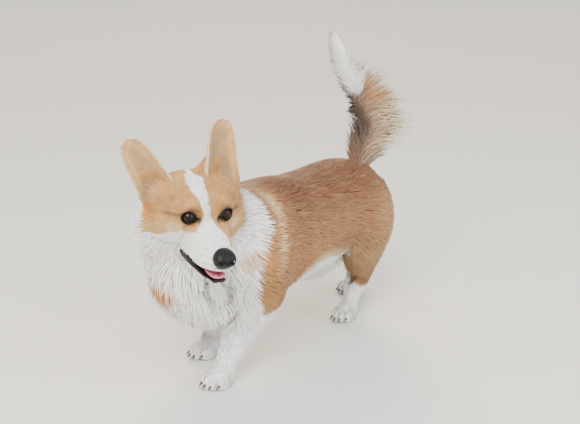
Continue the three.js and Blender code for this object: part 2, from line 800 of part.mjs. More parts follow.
// The middle of the animal's box, on the floor, goes to the origin.
model.updateMatrixWorld(true);
const box = new THREE.Box3().setFromObject(model, true);
model.position.set(-(box.min.x + box.max.x) / 2, -(box.min.y + box.max.y) / 2, -box.min.z);

export default model;
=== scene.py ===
import math

import bmesh
import bpy
import numpy as np
from mathutils import Matrix, Vector
from mathutils.bvhtree import BVHTree


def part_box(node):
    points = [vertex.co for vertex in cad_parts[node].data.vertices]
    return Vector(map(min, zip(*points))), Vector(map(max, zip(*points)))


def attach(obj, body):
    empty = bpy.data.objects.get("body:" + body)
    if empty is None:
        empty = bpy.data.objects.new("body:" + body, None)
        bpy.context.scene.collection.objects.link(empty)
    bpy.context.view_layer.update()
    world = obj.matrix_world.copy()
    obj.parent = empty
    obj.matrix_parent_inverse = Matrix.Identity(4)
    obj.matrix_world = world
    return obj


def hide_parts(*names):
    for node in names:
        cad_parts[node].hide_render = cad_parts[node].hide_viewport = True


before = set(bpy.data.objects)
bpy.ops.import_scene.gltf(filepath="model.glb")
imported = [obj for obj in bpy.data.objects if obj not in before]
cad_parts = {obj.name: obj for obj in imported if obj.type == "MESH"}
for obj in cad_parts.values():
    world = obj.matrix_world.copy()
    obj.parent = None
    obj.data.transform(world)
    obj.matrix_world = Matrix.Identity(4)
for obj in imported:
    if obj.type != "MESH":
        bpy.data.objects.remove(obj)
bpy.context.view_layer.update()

# Camera
# It stands ahead of the dog's left shoulder, a little above its back and about 1.7 m away.
# Its lens is 62 mm long.

CAMERA_TURN, CAMERA_RISE = math.radians(34.3), math.radians(13.3)
CAMERA_DISTANCE = 1.702
CAMERA_LENS = 62.2
LOOKED_AT = Vector((-0.01774, 0.03669, 0.214))

camera_back = Vector(
    (
        math.sin(CAMERA_TURN) * math.cos(CAMERA_RISE),
        -math.cos(CAMERA_TURN) * math.cos(CAMERA_RISE),
        math.sin(CAMERA_RISE),
    )
)
camera = bpy.data.objects.new("camera", bpy.data.cameras.new("camera"))
bpy.context.scene.collection.objects.link(camera)
camera.location = LOOKED_AT + camera_back * CAMERA_DISTANCE
camera.rotation_euler = (-camera_back).to_track_quat("-Z", "Y").to_euler()
camera.data.lens = CAMERA_LENS
camera.data.sensor_width = 36
camera.data.clip_start = 0.05
bpy.context.scene.camera = camera

# Studio floor and light
# A wide pale matt floor, and soft light: a large window of light over the camera's left shoulder,
# a broad weak one opposite, and a low warm soft sun behind the dog that edges its coat.


def linear(code):
    """An sRGB hex colour as linear red, green and blue."""
    parts = [int(code[i : i + 2], 16) / 255 for i in (1, 3, 5)]
    return tuple(c / 12.92 if c <= 0.04045 else ((c + 0.055) / 1.055) ** 2.4 for c in parts)


def node(tree, kind, settings=None, **links):
    """Adds a shader node. Settings are its own properties. Links are its inputs: values or other sockets."""
    made = tree.nodes.new(kind)
    for name, value in (settings or {}).items():
        setattr(made, name, value)
    for name, value in links.items():
        socket = made.inputs[int(name[1:])] if name[1:].isdigit() else made.inputs[name.replace("_", " ")]
        if isinstance(value, bpy.types.NodeSocket):
            tree.links.new(value, socket)
        elif hasattr(socket.default_value, "__len__") and len(socket.default_value) == 4 and len(value) == 3:
            socket.default_value = (*value, 1)
        else:
            socket.default_value = value
    return made


def new_material(name, **finish):
    """A material, its tree, and its Principled shader on the output, with the finish on its own sockets."""
    made = bpy.data.materials.new(name)
    made.use_nodes = True
    made.node_tree.nodes.clear()
    shader = node(made.node_tree, "ShaderNodeBsdfPrincipled", **finish)
    node(made.node_tree, "ShaderNodeOutputMaterial", Surface=shader.outputs[0])
    return made, made.node_tree, shader


FLOOR_COLOUR = linear("#d9d8d3")
FLAT_RADIUS, COVE_RADIUS = 40.0, 16.0
floor_mesh = bpy.data.meshes.new("floor")
floor_sides = 64
cove = [(FLAT_RADIUS * s, 0.0) for s in (0.01, 0.05, 0.2, 0.5, 1.0)]
for step in range(1, 10):
    bend = math.radians(9 * step)
    cove.append((FLAT_RADIUS + COVE_RADIUS * math.sin(bend), COVE_RADIUS * (1 - math.cos(bend))))
around = [2 * math.pi * i / floor_sides for i in range(floor_sides)]
floor_points = [(r * math.cos(a), r * math.sin(a), z) for r, z in cove for a in around]
floor_faces = [list(range(floor_sides))]
for ring in range(len(cove) - 1):
    for i in range(floor_sides):
        a, b = ring * floor_sides + i, ring * floor_sides + (i + 1) % floor_sides
        floor_faces.append([a, a + floor_sides, b + floor_sides, b])
floor_mesh.from_pydata(floor_points, [], floor_faces)
floor_mesh.polygons.foreach_set("use_smooth", [True] * len(floor_faces))
floor = bpy.data.objects.new("floor", floor_mesh)
bpy.context.scene.collection.objects.link(floor)
floor_paint, _, _ = new_material(
    "matt_floor_paint",
    Base_Color=FLOOR_COLOUR,
    Roughness=0.9,
    Specular_IOR_Level=0.15,
)
floor.data.materials.append(floor_paint)

world = bpy.data.worlds.new("studio")
bpy.context.scene.world = world
world.use_nodes = True
world.node_tree.nodes["Background"].inputs["Color"].default_value = (*linear("#dfe4ea"), 1)
world.node_tree.nodes["Background"].inputs["Strength"].default_value = 1.45


def add_window(name, place, size, power, colour):
    """A square soft light that faces the dog's middle."""
    lamp = bpy.data.objects.new(name, bpy.data.lights.new(name, "AREA"))
    bpy.context.scene.collection.objects.link(lamp)
    lamp.location = place
    lamp.rotation_euler = (Vector((0, 0, 0.2)) - Vector(place)).to_track_quat("-Z", "Y").to_euler()
    lamp.data.size = size
    lamp.data.energy = power
    lamp.data.color = colour


add_window("key", (0.9, -2.6, 2.3), 1.8, 190, linear("#fff8f0"))
add_window("fill", (2.8, 0.6, 1.2), 2.2, 52, linear("#eef3ff"))

rim = bpy.data.objects.new("rim", bpy.data.lights.new("rim", "SUN"))
bpy.context.scene.collection.objects.link(rim)
rim.rotation_euler = (-Vector((-0.75, 1.0, 0.62))).to_track_quat("-Z", "Y").to_euler()
rim.data.angle = math.radians(24)
rim.data.energy = 4.4
rim.data.color = linear("#ffe6bf")

# Skin
# One hide over the whole dog, from the nose to the tip of the tail. It follows the outline of the animal
# at the depth of the coat, and is seen bare only at the lips, the lids, the soles and inside the ears.
# Shapes are functions of points in millimetres in the dog's own axes: x to its left, y back, z up.

OUTSIDE = 60.0
WITHERS, RUMP = 284, 291
CHEST_BOTTOM, TUCK = 88, 106
CHEST_HALF, LOIN_HALF = 92, 80
CHEST_FRONT, RUMP_REAR = -240, 281


def ramp(value, low, high):
    """A smooth step from 0 at low to 1 at high."""
    t = np.clip((value - low) / (high - low), 0, 1)
    return t * t * (3 - 2 * t)


def mix(a, b, t):
    return a + (b - a) * t


def oval(centre, half):
    centre, half = np.array(centre, np.float32), np.array(half, np.float32)

    def shape(p):
        unit = (p - centre) / half
        reach = np.linalg.norm(unit, axis=1)
        slope = np.linalg.norm(unit / half, axis=1)
        return np.where(slope > 1e-9, reach * (reach - 1) / np.maximum(slope, 1e-9), -half.min())

    return shape


def smooth_line(stations, per_span):
    """Points along a smooth line through rows of numbers."""
    rows = np.array(stations, float)
    rows = np.vstack([2 * rows[0] - rows[1], rows, 2 * rows[-1] - rows[-2]])
    t = (np.arange(per_span) / per_span)[:, None]
    spans = []
    for a, b, c, d in zip(rows, rows[1:], rows[2:], rows[3:]):
        squared = t**2 * (a - 2.5 * b + 2 * c - d / 2)
        cubed = t**3 * (1.5 * (b - c) + (d - a) / 2)
        spans.append(b + t * (c - a) / 2 + squared + cubed)
    return np.vstack([*spans, rows[-2]])


def unit(v):
    return v / np.maximum(np.linalg.norm(v, axis=-1, keepdims=True), 1e-9)


class Sweep:
    """A shape along a line of stations, each a place and two half sizes: wide, and deep towards "over"."""

    def __init__(self, stations, over, fullness=2.0, per_span=4):
        rows = smooth_line([[*at, wide, deep] for at, wide, deep in stations], per_span)
        self.at, self.size = rows[:, :3], np.maximum(rows[:, 3:], 0.5)
        self.along = unit(np.gradient(self.at, axis=0))
        self.side = unit(np.cross(np.array(over, float), self.along))
        self.up = np.cross(self.along, self.side)
        self.fullness = fullness

    def nearest(self, p):
        """For each point, its place along the line in steps."""
        best = np.full(len(p), np.inf, np.float32)
        where = np.zeros(len(p), np.float32)
        for i in range(len(self.at) - 1):
            run = (self.at[i + 1] - self.at[i]).astype(np.float32)
            away = p - self.at[i].astype(np.float32)
            s = np.clip(away @ run / (run @ run), 0, 1)
            gap = np.square(away - s[:, None] * run).sum(1)
            closer = gap < best
            best[closer] = gap[closer]
            where[closer] = i + s[closer]
        return where

    def at_step(self, values, where):
        first = np.minimum(where.astype(int), len(self.at) - 2)
        return mix(values[first], values[first + 1], (where - first)[:, None])

    def __call__(self, p):
        where = self.nearest(p)
        away = p - self.at_step(self.at, where)
        size = self.at_step(self.size, where)
        u = np.abs((away * self.at_step(self.side, where)).sum(1)) / size[:, 0]
        v = np.abs((away * self.at_step(self.up, where)).sum(1)) / size[:, 1]
        at_end = (where <= 0) | (where >= len(self.at) - 1)
        w = np.where(at_end, (away * self.at_step(self.along, where)).sum(1) / size.min(1), 0)
        reach = np.hypot((u**self.fullness + v**self.fullness) ** (1 / self.fullness), w)
        length = np.linalg.norm(away, axis=1)
        return np.where(reach > 1e-6, length * (1 - 1 / np.maximum(reach, 1e-6)), -size.min(1))


def blend(size, *values):
    """Joins shapes, given as their values, with a soft fillet."""
    total = values[0]
    for value in values[1:]:
        h = np.maximum(size - np.abs(total - value), 0) / size
        total = np.minimum(total, value) - h * h * size / 4
    return total


def carve(size, value, dent):
    """Takes the second shape out of the first, with a soft edge."""
    return -blend(size, -value, dent)


def both(shape):
    """A shape on the dog's left and its mirror on the right."""
    return [shape(1), shape(-1)]


def joined(size, shapes):
    return lambda p: blend(size, *[shape(p) for shape in shapes])


# Trunk and thighs
trunk = Sweep(
    [
        ([0, y, (top + bottom) / 2], half, (top - bottom) / 2)
        for y, top, bottom, half in [
            (CHEST_FRONT + 42, WITHERS - 24, CHEST_BOTTOM + 12, CHEST_HALF - 22),
            (-150, WITHERS, CHEST_BOTTOM, CHEST_HALF - 3),
            (-90, WITHERS - 2, CHEST_BOTTOM + 3, CHEST_HALF),
            (-20, WITHERS - 3, CHEST_BOTTOM + 12, CHEST_HALF - 1),
            (60, WITHERS - 2, TUCK - 2, LOIN_HALF + 6),
            (130, RUMP - 2, TUCK + 10, LOIN_HALF + 2),
            (190, RUMP, TUCK + 20, LOIN_HALF + 2),
            (RUMP_REAR - 48, RUMP - 12, TUCK + 36, LOIN_HALF - 9),
        ]
    ],
    (0, 0, 1),
    2.3,
    3,
)
belly = oval([0, 104, TUCK + 16], [40, 78, 34])
shoulders = both(lambda side: oval([side * 66, -138, 168], [32, 52, 74]))
thighs = both(lambda side: oval([side * 54, 212, 178], [36, 70, 88]))

# Neck and the bib of the chest
neck = Sweep(
    [
        ([0, -150, 196], 88, 84),
        ([-8, -196, 216], 88, 80),
        ([-10, -236, 244], 74, 68),
        ([2, -258, 268], 58, 54),
    ],
    (0, 0, 1),
)
upper_bib = oval([-12, CHEST_FRONT + 30, 188], [95, 62, 68])
lower_bib = oval([-12, CHEST_FRONT + 38, 134], [78, 58, 64])

# Legs
foreleg_left = Sweep(
    [
        ([54, -142, 128], 34, 42),
        ([50, -156, 92], 27, 34),
        ([46, -180, 62], 20, 27),
        ([42, -198, 38], 17, 23),
        ([40, -208, 20], 16, 19),
    ],
    (0, -1, 0),
)
foreleg_right = Sweep(
    [
        ([-54, -144, 128], 34, 42),
        ([-53, -134, 92], 26, 29),
        ([-53, -124, 62], 20, 21),
        ([-53, -120, 38], 17, 18),
        ([-53, -124, 20], 16, 17),
    ],
    (0, -1, 0),
)
hindleg_left = Sweep(
    [
        ([50, 186, 152], 32, 56),
        ([48, 191, 112], 25, 40),
        ([45, 196, 80], 19, 27),
        ([43, 185, 56], 15, 20),
        ([41, 168, 36], 14, 18),
        ([40, 158, 20], 15, 17),
    ],
    (0, -1, 0),
)
hindleg_right = Sweep(
    [
        ([-49, 212, 152], 32, 54),
        ([-46, 244, 118], 25, 38),
        ([-41, 282, 88], 18, 24),
        ([-38, 299, 58], 14, 18),
        ([-36, 304, 34], 14, 17),
        ([-35, 302, 18], 15, 16),
    ],
    (0, -1, 0),
)

# Paws, each in its own frame: its middle at the origin on the floor, toes towards -y
FOREPAW_WIDTH, HINDPAW_WIDTH, PAW_LENGTH = 44, 40, 60
TOES = (-1.5, -0.5, 0.5, 1.5)
PAWS = {
    "foreclaw_left": ((39, -219), 6, FOREPAW_WIDTH),
    "foreclaw_right": ((-53, -134), -8, FOREPAW_WIDTH),
    "hindclaw_left": ((40, 147), 6, HINDPAW_WIDTH),
    "hindclaw_right": ((-34, 292), -5, HINDPAW_WIDTH),
}


def toe_at(toe, width):
    return [toe * width * 0.235, -0.2 * PAW_LENGTH - 0.06 * PAW_LENGTH * (2.25 - toe * toe), 10]


def paw_frame(name):
    """A paw's place and its axes as columns."""
    (x, y), turn, _ = PAWS[name]
    return np.array([x, y, 0.0]), np.array(Matrix.Rotation(math.radians(turn), 3, "Z"))


def paw(name):
    """A paw as the hair leaves it, with four toes that part a little and a flat sole."""
    at, axes = paw_frame(name)
    width = PAWS[name][2]
    toes = [oval(toe_at(toe, width), [width * 0.165, PAW_LENGTH * 0.25, 12]) for toe in TOES]
    top = oval([0, 4, 17], [width * 0.42, PAW_LENGTH * 0.38, 16])
    heel = oval([0, 12, 10], [width * 0.36, PAW_LENGTH * 0.28, 14])

    def shape(p):
        q = (p - at) @ axes
        return blend(6, top(q), heel(q), blend(1.6, *[toe(q) for toe in toes]))

    return shape


# The tail is whole and undocked. Its bone and flesh run along the front edge of its plume.
PLUME = Sweep(
    [
        ([10, 234, 258], 30, 22),
        ([14, 248, 298], 36, 24),
        ([24, 270, 330], 51, 25),
        ([28, 279, 361], 58, 25),
        ([24, 274, 391], 57, 23),
        ([15, 258, 415], 47, 20),
        ([4, 236, 439], 35, 17),
        ([-8, 221, 462], 22, 13),
        ([-16, 204, 487], 12, 9),
        ([-20, 189, 512], 3, 3),
    ],
    (0.707, -0.707, 0),
    per_span=5,
)
TAIL_STEPS = len(PLUME.at) - 1
tail_share = np.linspace(0, 1, len(PLUME.at))
tail_radius = mix(17.0, 4.0, ramp(tail_share, 0.0, 0.9))
bone_aside = np.maximum(PLUME.size[:, 0] - tail_radius - 13, 0) * ramp(tail_share, 0.02, 0.3)
TAIL_EDGE = np.sign(PLUME.side[:, 0:1]) * PLUME.side
bone_at = PLUME.at - TAIL_EDGE * bone_aside[:, None]
last_bone = int(0.9 * TAIL_STEPS)
tail = Sweep(
    [(bone_at[i], tail_radius[i], tail_radius[i]) for i in range(0, last_bone + 1, 3)],
    (0.707, -0.707, 0),
    per_span=2,
)

# Head, in its own frame: midway between the eyes, x to the dog's left, y back, z up
HEAD_AT = np.array([71.0, -281.0, 280.5])
HEAD_NOD, HEAD_TILT, HEAD_TURN = (math.radians(a) for a in (11.5, 1, 61))
turned = Matrix.Rotation(HEAD_TURN, 3, "Z") @ Matrix.Rotation(HEAD_NOD, 3, "X")
HEAD_AXES = np.array(turned @ Matrix.Rotation(HEAD_TILT, 3, "Y"))
EYE_APART, EYE_RADIUS = 52, 10.5
NOSE_TIP = -80


def in_head(p):
    return (p - HEAD_AT) @ HEAD_AXES


def from_head(q):
    return q @ HEAD_AXES.T + HEAD_AT


muzzle = Sweep(
    [
        ([0, 4, -22], 33, 27),
        ([0, -24, -28], 27, 22),
        ([0, -48, -34], 22, 18.5),
        ([0, NOSE_TIP + 18, -38], 18, 17),
    ],
    (0, 0, 1),
    2.3,
)
jaw = Sweep(
    [
        ([0, 14, -60], 26, 18),
        ([0, -20, -67], 21, 13.5),
        ([0, NOSE_TIP + 23, -72], 14.5, 7.8),
    ],
    (0, 0, 1),
)
skull = oval([0, 50, 6], [52, 62, 38])
brows = both(lambda side: oval([side * 22, 4, 10], [18, 16, 13]))
cheeks = both(lambda side: oval([side * 33, 42, -22], [37, 42, 37]))
temples = both(lambda side: oval([side * 42, 54, 2], [28, 34, 30]))
neck_ruff = both(lambda side: oval([side * 42, 66, -40], [38, 36, 42]))
throat = oval([0, 44, -52], [38, 40, 26])
flews = both(lambda side: oval([side * 13, -32, -48], [13, 30, 15]))
jowls = both(
    lambda side: Sweep(
        [
            ([side * 27, 10, -43], 9.5, 9.5),
            ([side * 21.5, 5, -51], 10.5, 10.5),
            ([side * 17, -3, -56], 10.5, 10),
            ([side * 13, -10, -60], 10, 9.5),
            ([side * 10, -22, -62], 9.5, 8.5),
        ],
        (0, 0, 1),
    )
)
lower_lips = both(
    lambda side: Sweep(
        [
            ([side * 32, 10, -56], 6, 6),
            ([side * 28.5, 0, -61], 6, 6),
            ([side * 24.5, -10, -65], 6, 6),
            ([side * 20, -21.5, -68], 6, 6),
            ([side * 16.5, -32, -70], 6, 6),
            ([side * 12, -41, -72.5], 5.5, 5.5),
        ],
        (0, 0, 1),
    )
)
ear_web = Sweep([([10, 62, 36], 12, 12), ([20, 68, 47], 9, 9), ([28, 72, 60], 6, 6)], (0, 0, 1))
sockets = both(lambda side: oval([side * (EYE_APART / 2 + 2), -16, 1], [15, 17, 13]))

# Ears: each stands along its own z from its root, and its hollow faces its own -y
EAR_WIDTH, EAR_THICK = {"left": 52, "right": 46}, 5
EARS = {"left": ([43, 65, 28], [48.5, 88, 110], 12), "right": ([-51.5, 66, 19], [-90.5, 90, 85.5], -14)}


def ear_frame(name):
    """An ear's root, its axes as columns, and its length, in the head's frame."""
    root, tip, facing = EARS[name]
    root, tip = np.array(root, float), np.array(tip, float)
    along = unit(tip - root)
    facing = math.radians(facing)
    across = unit(np.cross([-math.sin(facing), math.cos(facing), 0], along))
    return root, np.column_stack([across, np.cross(along, across), along]), np.linalg.norm(tip - root)


def ear_half_width(t, width):
    t = np.clip(t, -0.4, 1)
    return width / 2 * (1 - 0.19 * t + 0.1 * (1 - np.clip(t, 0, 1)) ** 4) * np.sqrt(1 - np.abs(t) ** 6)


def on_ear(name, q):
    """How far up an ear each point is, from 0 to 1, how far inside its edge, and how far behind it."""
    root, axes, length = ear_frame(name)
    e = (q - root) @ axes
    t = e[:, 2] / length
    half = np.maximum(ear_half_width(t, EAR_WIDTH[name]), 0.5)
    u = np.clip(e[:, 0] / half, -1.2, 1.2)
    dish = mix(15.0, 3.0, np.clip(t, 0, 1))
    within = blend(6, (half - 1 - np.abs(e[:, 0])) * 0.9, length - 1.5 - e[:, 2])
    return t, within, e[:, 1] - dish * (0.55 - u * u)


def ear(name):
    """The ear's thin shell, with its open side dished and its rim rounded."""

    def shape(q):
        t, within, behind = on_ear(name, q)
        sheet = np.abs(behind) - EAR_THICK / 2 * mix(1.35, 0.7, np.clip(t, 0, 1))
        rounded = np.hypot(np.maximum(sheet + 2, 0), np.maximum(-within, 0)) - 2
        return np.where(rounded > -2, rounded, np.maximum(sheet, -within))

    return shape


def ear_root(name):
    """The broad muscle and fur that the ear stands on."""
    root, axes, _ = ear_frame(name)
    stump = Sweep([([0, 5, -26], 25, 19), ([0, 6, 22], 23, 11)], (0, -1, 0))
    return lambda q: stump((q - root) @ axes)


def head(p):
    q = in_head(p).astype(np.float32)
    features = [skull, *cheeks, throat, muzzle, *brows, *temples, *flews, *jowls]
    face = blend(16, *[shape(q) for shape in features])
    for socket in sockets:
        face = carve(6, face, socket(q))
    ruffed = blend(12, face, *[shape(q) for shape in neck_ruff])
    rooted = blend(12, ruffed, *[ear_root(name)(q) for name in EARS])
    rooted = blend(10, rooted, ear_web(q))
    return blend(5, rooted, blend(8, jaw(q), *[lip(q) for lip in lower_lips]))


def ears(p):
    q = in_head(p).astype(np.float32)
    return np.minimum(*[ear(name)(q) for name in EARS])


def head_coat_depth(p):
    """Short on the muzzle and round the eyes, and longer over the cheeks and the throat."""
    _, y, z = in_head(p).T
    sides = ramp(y, 10, 62) * ramp(-z, -22, 14)
    return 1.2 + 2.2 * ramp(y, -30, 40) + 9 * sides + 3 * ramp(-z, 52, 74)


def chest_coat_depth(p):
    _, y, z = p.T
    return 17 + 13 * ramp(-z, -235, -150) * ramp(-y, 120, 210)


def trunk_coat_depth(p):
    _, y, z = p.T
    breeches = ramp(y, 200, 262) * ramp(-z, -250, -190)
    return 12 + 3 * ramp(-z, -150, -100) + 9 * breeches


# Each region's shape, the depth of its coat in millimetres, and the box that it lies in
body_parts = [trunk, belly, *shoulders, *thighs]
chest_parts = [neck, joined(30, [upper_bib, lower_bib])]
REGIONS = {
    "trunk": (joined(26, body_parts), trunk_coat_depth, (-125, -260, 60), (125, 310, 320)),
    "chest": (joined(30, chest_parts), chest_coat_depth, (-135, -310, 50), (125, -60, 345)),
    "foreleg_left": (foreleg_left, 4.5, (10, -250, 0), (100, -80, 175)),
    "foreleg_right": (foreleg_right, 4.5, (-100, -210, 0), (-10, -80, 175)),
    "hindleg_left": (hindleg_left, 5, (8, 120, 0), (100, 260, 215)),
    "hindleg_right": (hindleg_right, 5, (-100, 150, 0), (-8, 335, 215)),
    "tail": (tail, 0, (-60, 150, 225), (80, 320, 520)),
    "head": (head, head_coat_depth, (-60, -410, 180), (220, -150, 380)),
}
for name, ((x, y), _, _) in PAWS.items():
    REGIONS[name.replace("claw", "paw")] = (paw(name), 1.5, (x - 45, y - 50, -12), (x + 45, y + 50, 50))


def in_box(points, low, high):
    return ((points > low) & (points < high)).all(1)


def region_values(p):
    """Each region's distance at the points."""
    values = {}
    for name, (shape, _, low, high) in REGIONS.items():
        near = in_box(p, low, high)
        value = np.full(len(p), OUTSIDE, np.float32)
        value[near] = shape(p[near])
        values[name] = value
    return values


def leaner(p):
    """How far the back lies inside its flesh parts: lower at loin and rump, higher behind the withers."""
    _, y, z = p.T
    loin = 6 * ramp(y, 40, 115) * ramp(z, 245, 280) * ramp(215 - y, 0, 50)
    rump = 9 * ramp(y, 150, 200) * np.exp(-np.square((z - 240) / 34))
    return np.maximum(loin, rump) - 5 * ramp(y, -125, -80) * ramp(40 - y, 0, 60) * ramp(z, 215, 250)


def shares(values, spread=9.0):
    """How much each region counts at a point, out of 1."""
    names = list(values)
    weights = np.exp(-np.clip(np.stack([values[n] for n in names]), -40, 60) / spread)
    weights /= weights.sum(0)
    return dict(zip(names, weights))


def coat_depth(p, part):
    """The depth of the coat for the regions' shares. It thins out to nothing at the soles."""
    depth = np.zeros(len(p), np.float32)
    for name, share in part.items():
        own = REGIONS[name][1]
        depth += share * (own(p) if callable(own) else own)
    return depth * ramp(p[:, 2], 1.0, 9.0)


# The mouth is open at the front. Each lip's height is given along the muzzle, and behind that the lips
# run together up the cheek to the corner.
UPPER_LIP = [(-80, -52.5), (-60, -53.5), (-45, -56), (-32, -58), (-20, -58.2), (-10, -56)]
LOWER_LIP = [(-80, -69), (-60, -70.5), (-45, -71.2), (-32, -68), (-20, -64), (-10, -61.5)]
UPPER_LIP, LOWER_LIP = (smooth_line(lip, 5) for lip in (UPPER_LIP, LOWER_LIP))
LIPS_BEHIND = Sweep(
    [
        ([24, -19, -61.5], 3.4, 3.4),
        ([28, -10, -60], 3.8, 3.8),
        ([31.5, -2, -56.5], 3.8, 3.8),
        ([35, 5, -52], 3.0, 3.0),
        ([38, 4.5, -47], 3.2, 3.2),
        ([40.2, 4, -42.5], 2.0, 2.0),
    ],
    (0, 0, 1),
)


def lip_height(y, lip):
    return np.interp(y, lip[:, 0], lip[:, 1])


def mouth_gap(q):
    """Below zero between the lips."""
    x, y, z = q.T
    between = np.maximum(z - lip_height(y, UPPER_LIP), lip_height(y, LOWER_LIP) - z)
    ahead = np.maximum(between, y + 15)
    return np.minimum(ahead, LIPS_BEHIND(np.column_stack([np.abs(x), y, z])))


# Eyes and lids. Each eye looks a little outwards, and its lids leave an almond-shaped opening.
EYE_OUT, EYE_SLANT = math.radians(22), math.radians(12)
LID = 1.9


def eye_frame(side):
    """An eye's centre, and as columns its axes in the head's frame: along the lids, up, and the gaze."""
    centre = np.array([side * EYE_APART / 2, 3.0, 0.0])
    gaze = np.array([side * math.sin(EYE_OUT), -math.cos(EYE_OUT), 0.03])
    gaze /= np.linalg.norm(gaze)
    outwards = unit(np.cross(gaze, [0, 0, 1.0]) * -side)
    outwards = outwards if outwards[0] * side > 0 else -outwards
    up = unit(np.cross(gaze, outwards))
    up = up if up[2] > 0 else -up
    slanted = outwards * math.cos(EYE_SLANT) + up * math.sin(EYE_SLANT)
    slanted_up = up * math.cos(EYE_SLANT) - outwards * math.sin(EYE_SLANT)
    return centre, np.column_stack([slanted, slanted_up, gaze])


def lid_opening(e):
    """Below zero within the almond between the lids, in an eye's frame."""
    h, v, forward = e.T
    almond = -blend(2.4, 10.1 - np.hypot(h, v + 1.5), 10.3 - np.hypot(h, v - 2.9))
    corner = np.hypot((h + 10.4) / 1.9, v + 1.6 + 0.3 * (h + 9)) - 1.5
    return blend(1.5, almond, corner)


HEAD_ROOM = (-60, -410, 160), (220, -150, 430)


def skin_value(p):
    """The distance to the hide."""
    values = region_values(p)
    body = blend(26, values["trunk"], *[values[n] for n in values if "leg" in n])
    body = blend(40, body, values["chest"])
    body = blend(8, body, *[values[n] for n in values if "paw" in n])
    whole = blend(12, blend(24, body, values["head"]), values["tail"])
    part = shares(values)
    whole = whole + coat_depth(p, part) + part["trunk"] * leaner(p)
    whole = np.maximum(whole, -p[:, 2])
    near = in_box(p, *HEAD_ROOM)
    q = in_head(p[near]).astype(np.float32)
    whole[near] = face_value(q, np.minimum(whole[near], OUTSIDE), p[near])
    return whole


def face_value(q, value, p):
    """Adds ears, lids, nose seat and mouth to the hide of the head."""
    value = blend(5, value, ears(p))
    x, y, z = q.T
    value = value + 1.3 * np.exp(-np.square(x / 6)) * ramp(y, -20, 4) * ramp(-y, -50, -20) * ramp(z, -6, 10)
    nose_seat = np.maximum(y - NOSE_TIP - 13, -47 - z) + 0 * x
    value = carve(4, value, nose_seat)
    for side in (1, -1):
        centre, axes = eye_frame(side)
        e = (q - centre) @ axes
        ball = np.linalg.norm(e, axis=1) - EYE_RADIUS - LID
        value = blend(5, value, ball)
        opening = np.maximum(lid_opening(e), 3.0 - e[:, 2])
        value = carve(0.8, value, opening)
    depth_of_mouth = 4.5 + 26 * ramp(-y, 30, 50)
    value = carve(1.6, value, np.maximum(mouth_gap(q), -value - depth_of_mouth))
    return value


def surface_net(values, low, cell):
    """A closed mesh of four-sided faces where values on a grid change sign: vertices and faces as arrays."""
    inside = values < 0
    corners = [(a, b, c) for a in (0, 1) for b in (0, 1) for c in (0, 1)]
    n = [s - 1 for s in values.shape]
    count = sum(inside[a : a + n[0], b : b + n[1], c : c + n[2]].astype(np.int8) for a, b, c in corners)
    cells = np.argwhere((count > 0) & (count < 8))
    at = {c: values[tuple((cells + c).T)] for c in corners}
    total = np.zeros(cells.shape)
    crossings = np.zeros(len(cells))
    for a in corners:
        for axis in range(3):
            if a[axis]:
                continue
            b = tuple(1 if i == axis else a[i] for i in range(3))
            cut = (at[a] < 0) != (at[b] < 0)
            t = np.where(cut, at[a] / np.where(cut, at[a] - at[b], 1), 0)
            place = np.array(a) + t[:, None] * (np.array(b) - np.array(a))
            total += place * cut[:, None]
            crossings += cut
    points = low + (cells + total / crossings[:, None]) * cell
    index = np.full(values.shape, -1)
    index[tuple(cells.T)] = np.arange(len(cells))
    faces = []
    for axis in range(3):
        ahead = tuple(slice(1, None) if i == axis else slice(None) for i in range(3))
        behind = tuple(slice(None, -1) if i == axis else slice(None) for i in range(3))
        at_edge = np.argwhere(inside[behind] != inside[ahead])
        b, c = (axis + 1) % 3, (axis + 2) % 3
        step_b, step_c = np.eye(3, dtype=int)[b], np.eye(3, dtype=int)[c]
        ring = [at_edge - step_b - step_c, at_edge - step_c, at_edge, at_edge - step_b]
        quads = np.column_stack([index[tuple(r.T)] for r in ring])
        out = inside[tuple(at_edge.T)]
        faces += [quads[out], quads[~out][:, ::-1]]
    return points, np.vstack(faces)


def grid_points(low, high, cell):
    """The points of a grid, how many there are each way, and its lowest corner."""
    low, high = np.array(low, float), np.array(high, float)
    count = np.ceil((high - low) / cell).astype(int) + 1
    axes = [low[i] + cell * np.arange(count[i]) for i in range(3)]
    return np.stack(np.meshgrid(*axes, indexing="ij"), -1).reshape(-1, 3).astype(np.float32), count, low


PROBE = 0.4  # how far apart the slope of a shape is measured


def settle(value_of, points, rounds, reach):
    """Moves points along the slope onto the surface."""
    points = points.copy()
    for _ in range(rounds):
        value = value_of(points)
        slope = np.column_stack([(value_of(points + d) - value) / PROBE for d in PROBE * np.eye(3)])
        step = -value[:, None] * slope / np.maximum(np.square(slope).sum(1), 0.25)[:, None]
        length = np.linalg.norm(step, axis=1, keepdims=True)
        points += step * np.minimum(1, reach / np.maximum(length, 1e-6))
    return points


SKIN_CELL = 2.5
COARSE = 3  # skin cells in a coarse one, which find the surface first
CLOSE = 9  # from the surface, where the fine cells are worked out again
SKIN_LOW, SKIN_HIGH = (-120, -375, -4), (180, 330, 532)


def mesh_object(name, points_mm, faces):
    """A mesh of faces with the same number of corners, its points given in the dog's axes in millimetres."""
    mesh = bpy.data.meshes.new(name)
    points = to_frame(points_mm)
    corners = faces.shape[1]
    mesh.vertices.add(len(points))
    mesh.vertices.foreach_set("co", points.astype(np.float32).ravel())
    mesh.loops.add(faces.size)
    mesh.loops.foreach_set("vertex_index", faces.astype(np.int32).ravel())
    mesh.polygons.add(len(faces))
    mesh.polygons.foreach_set("loop_start", np.arange(0, faces.size, corners, dtype=np.int32))
    mesh.update(calc_edges=True)
    mesh.polygons.foreach_set("use_smooth", np.full(len(faces), True))
    made = bpy.data.objects.new(name, mesh)
    bpy.context.scene.collection.objects.link(made)
    return made


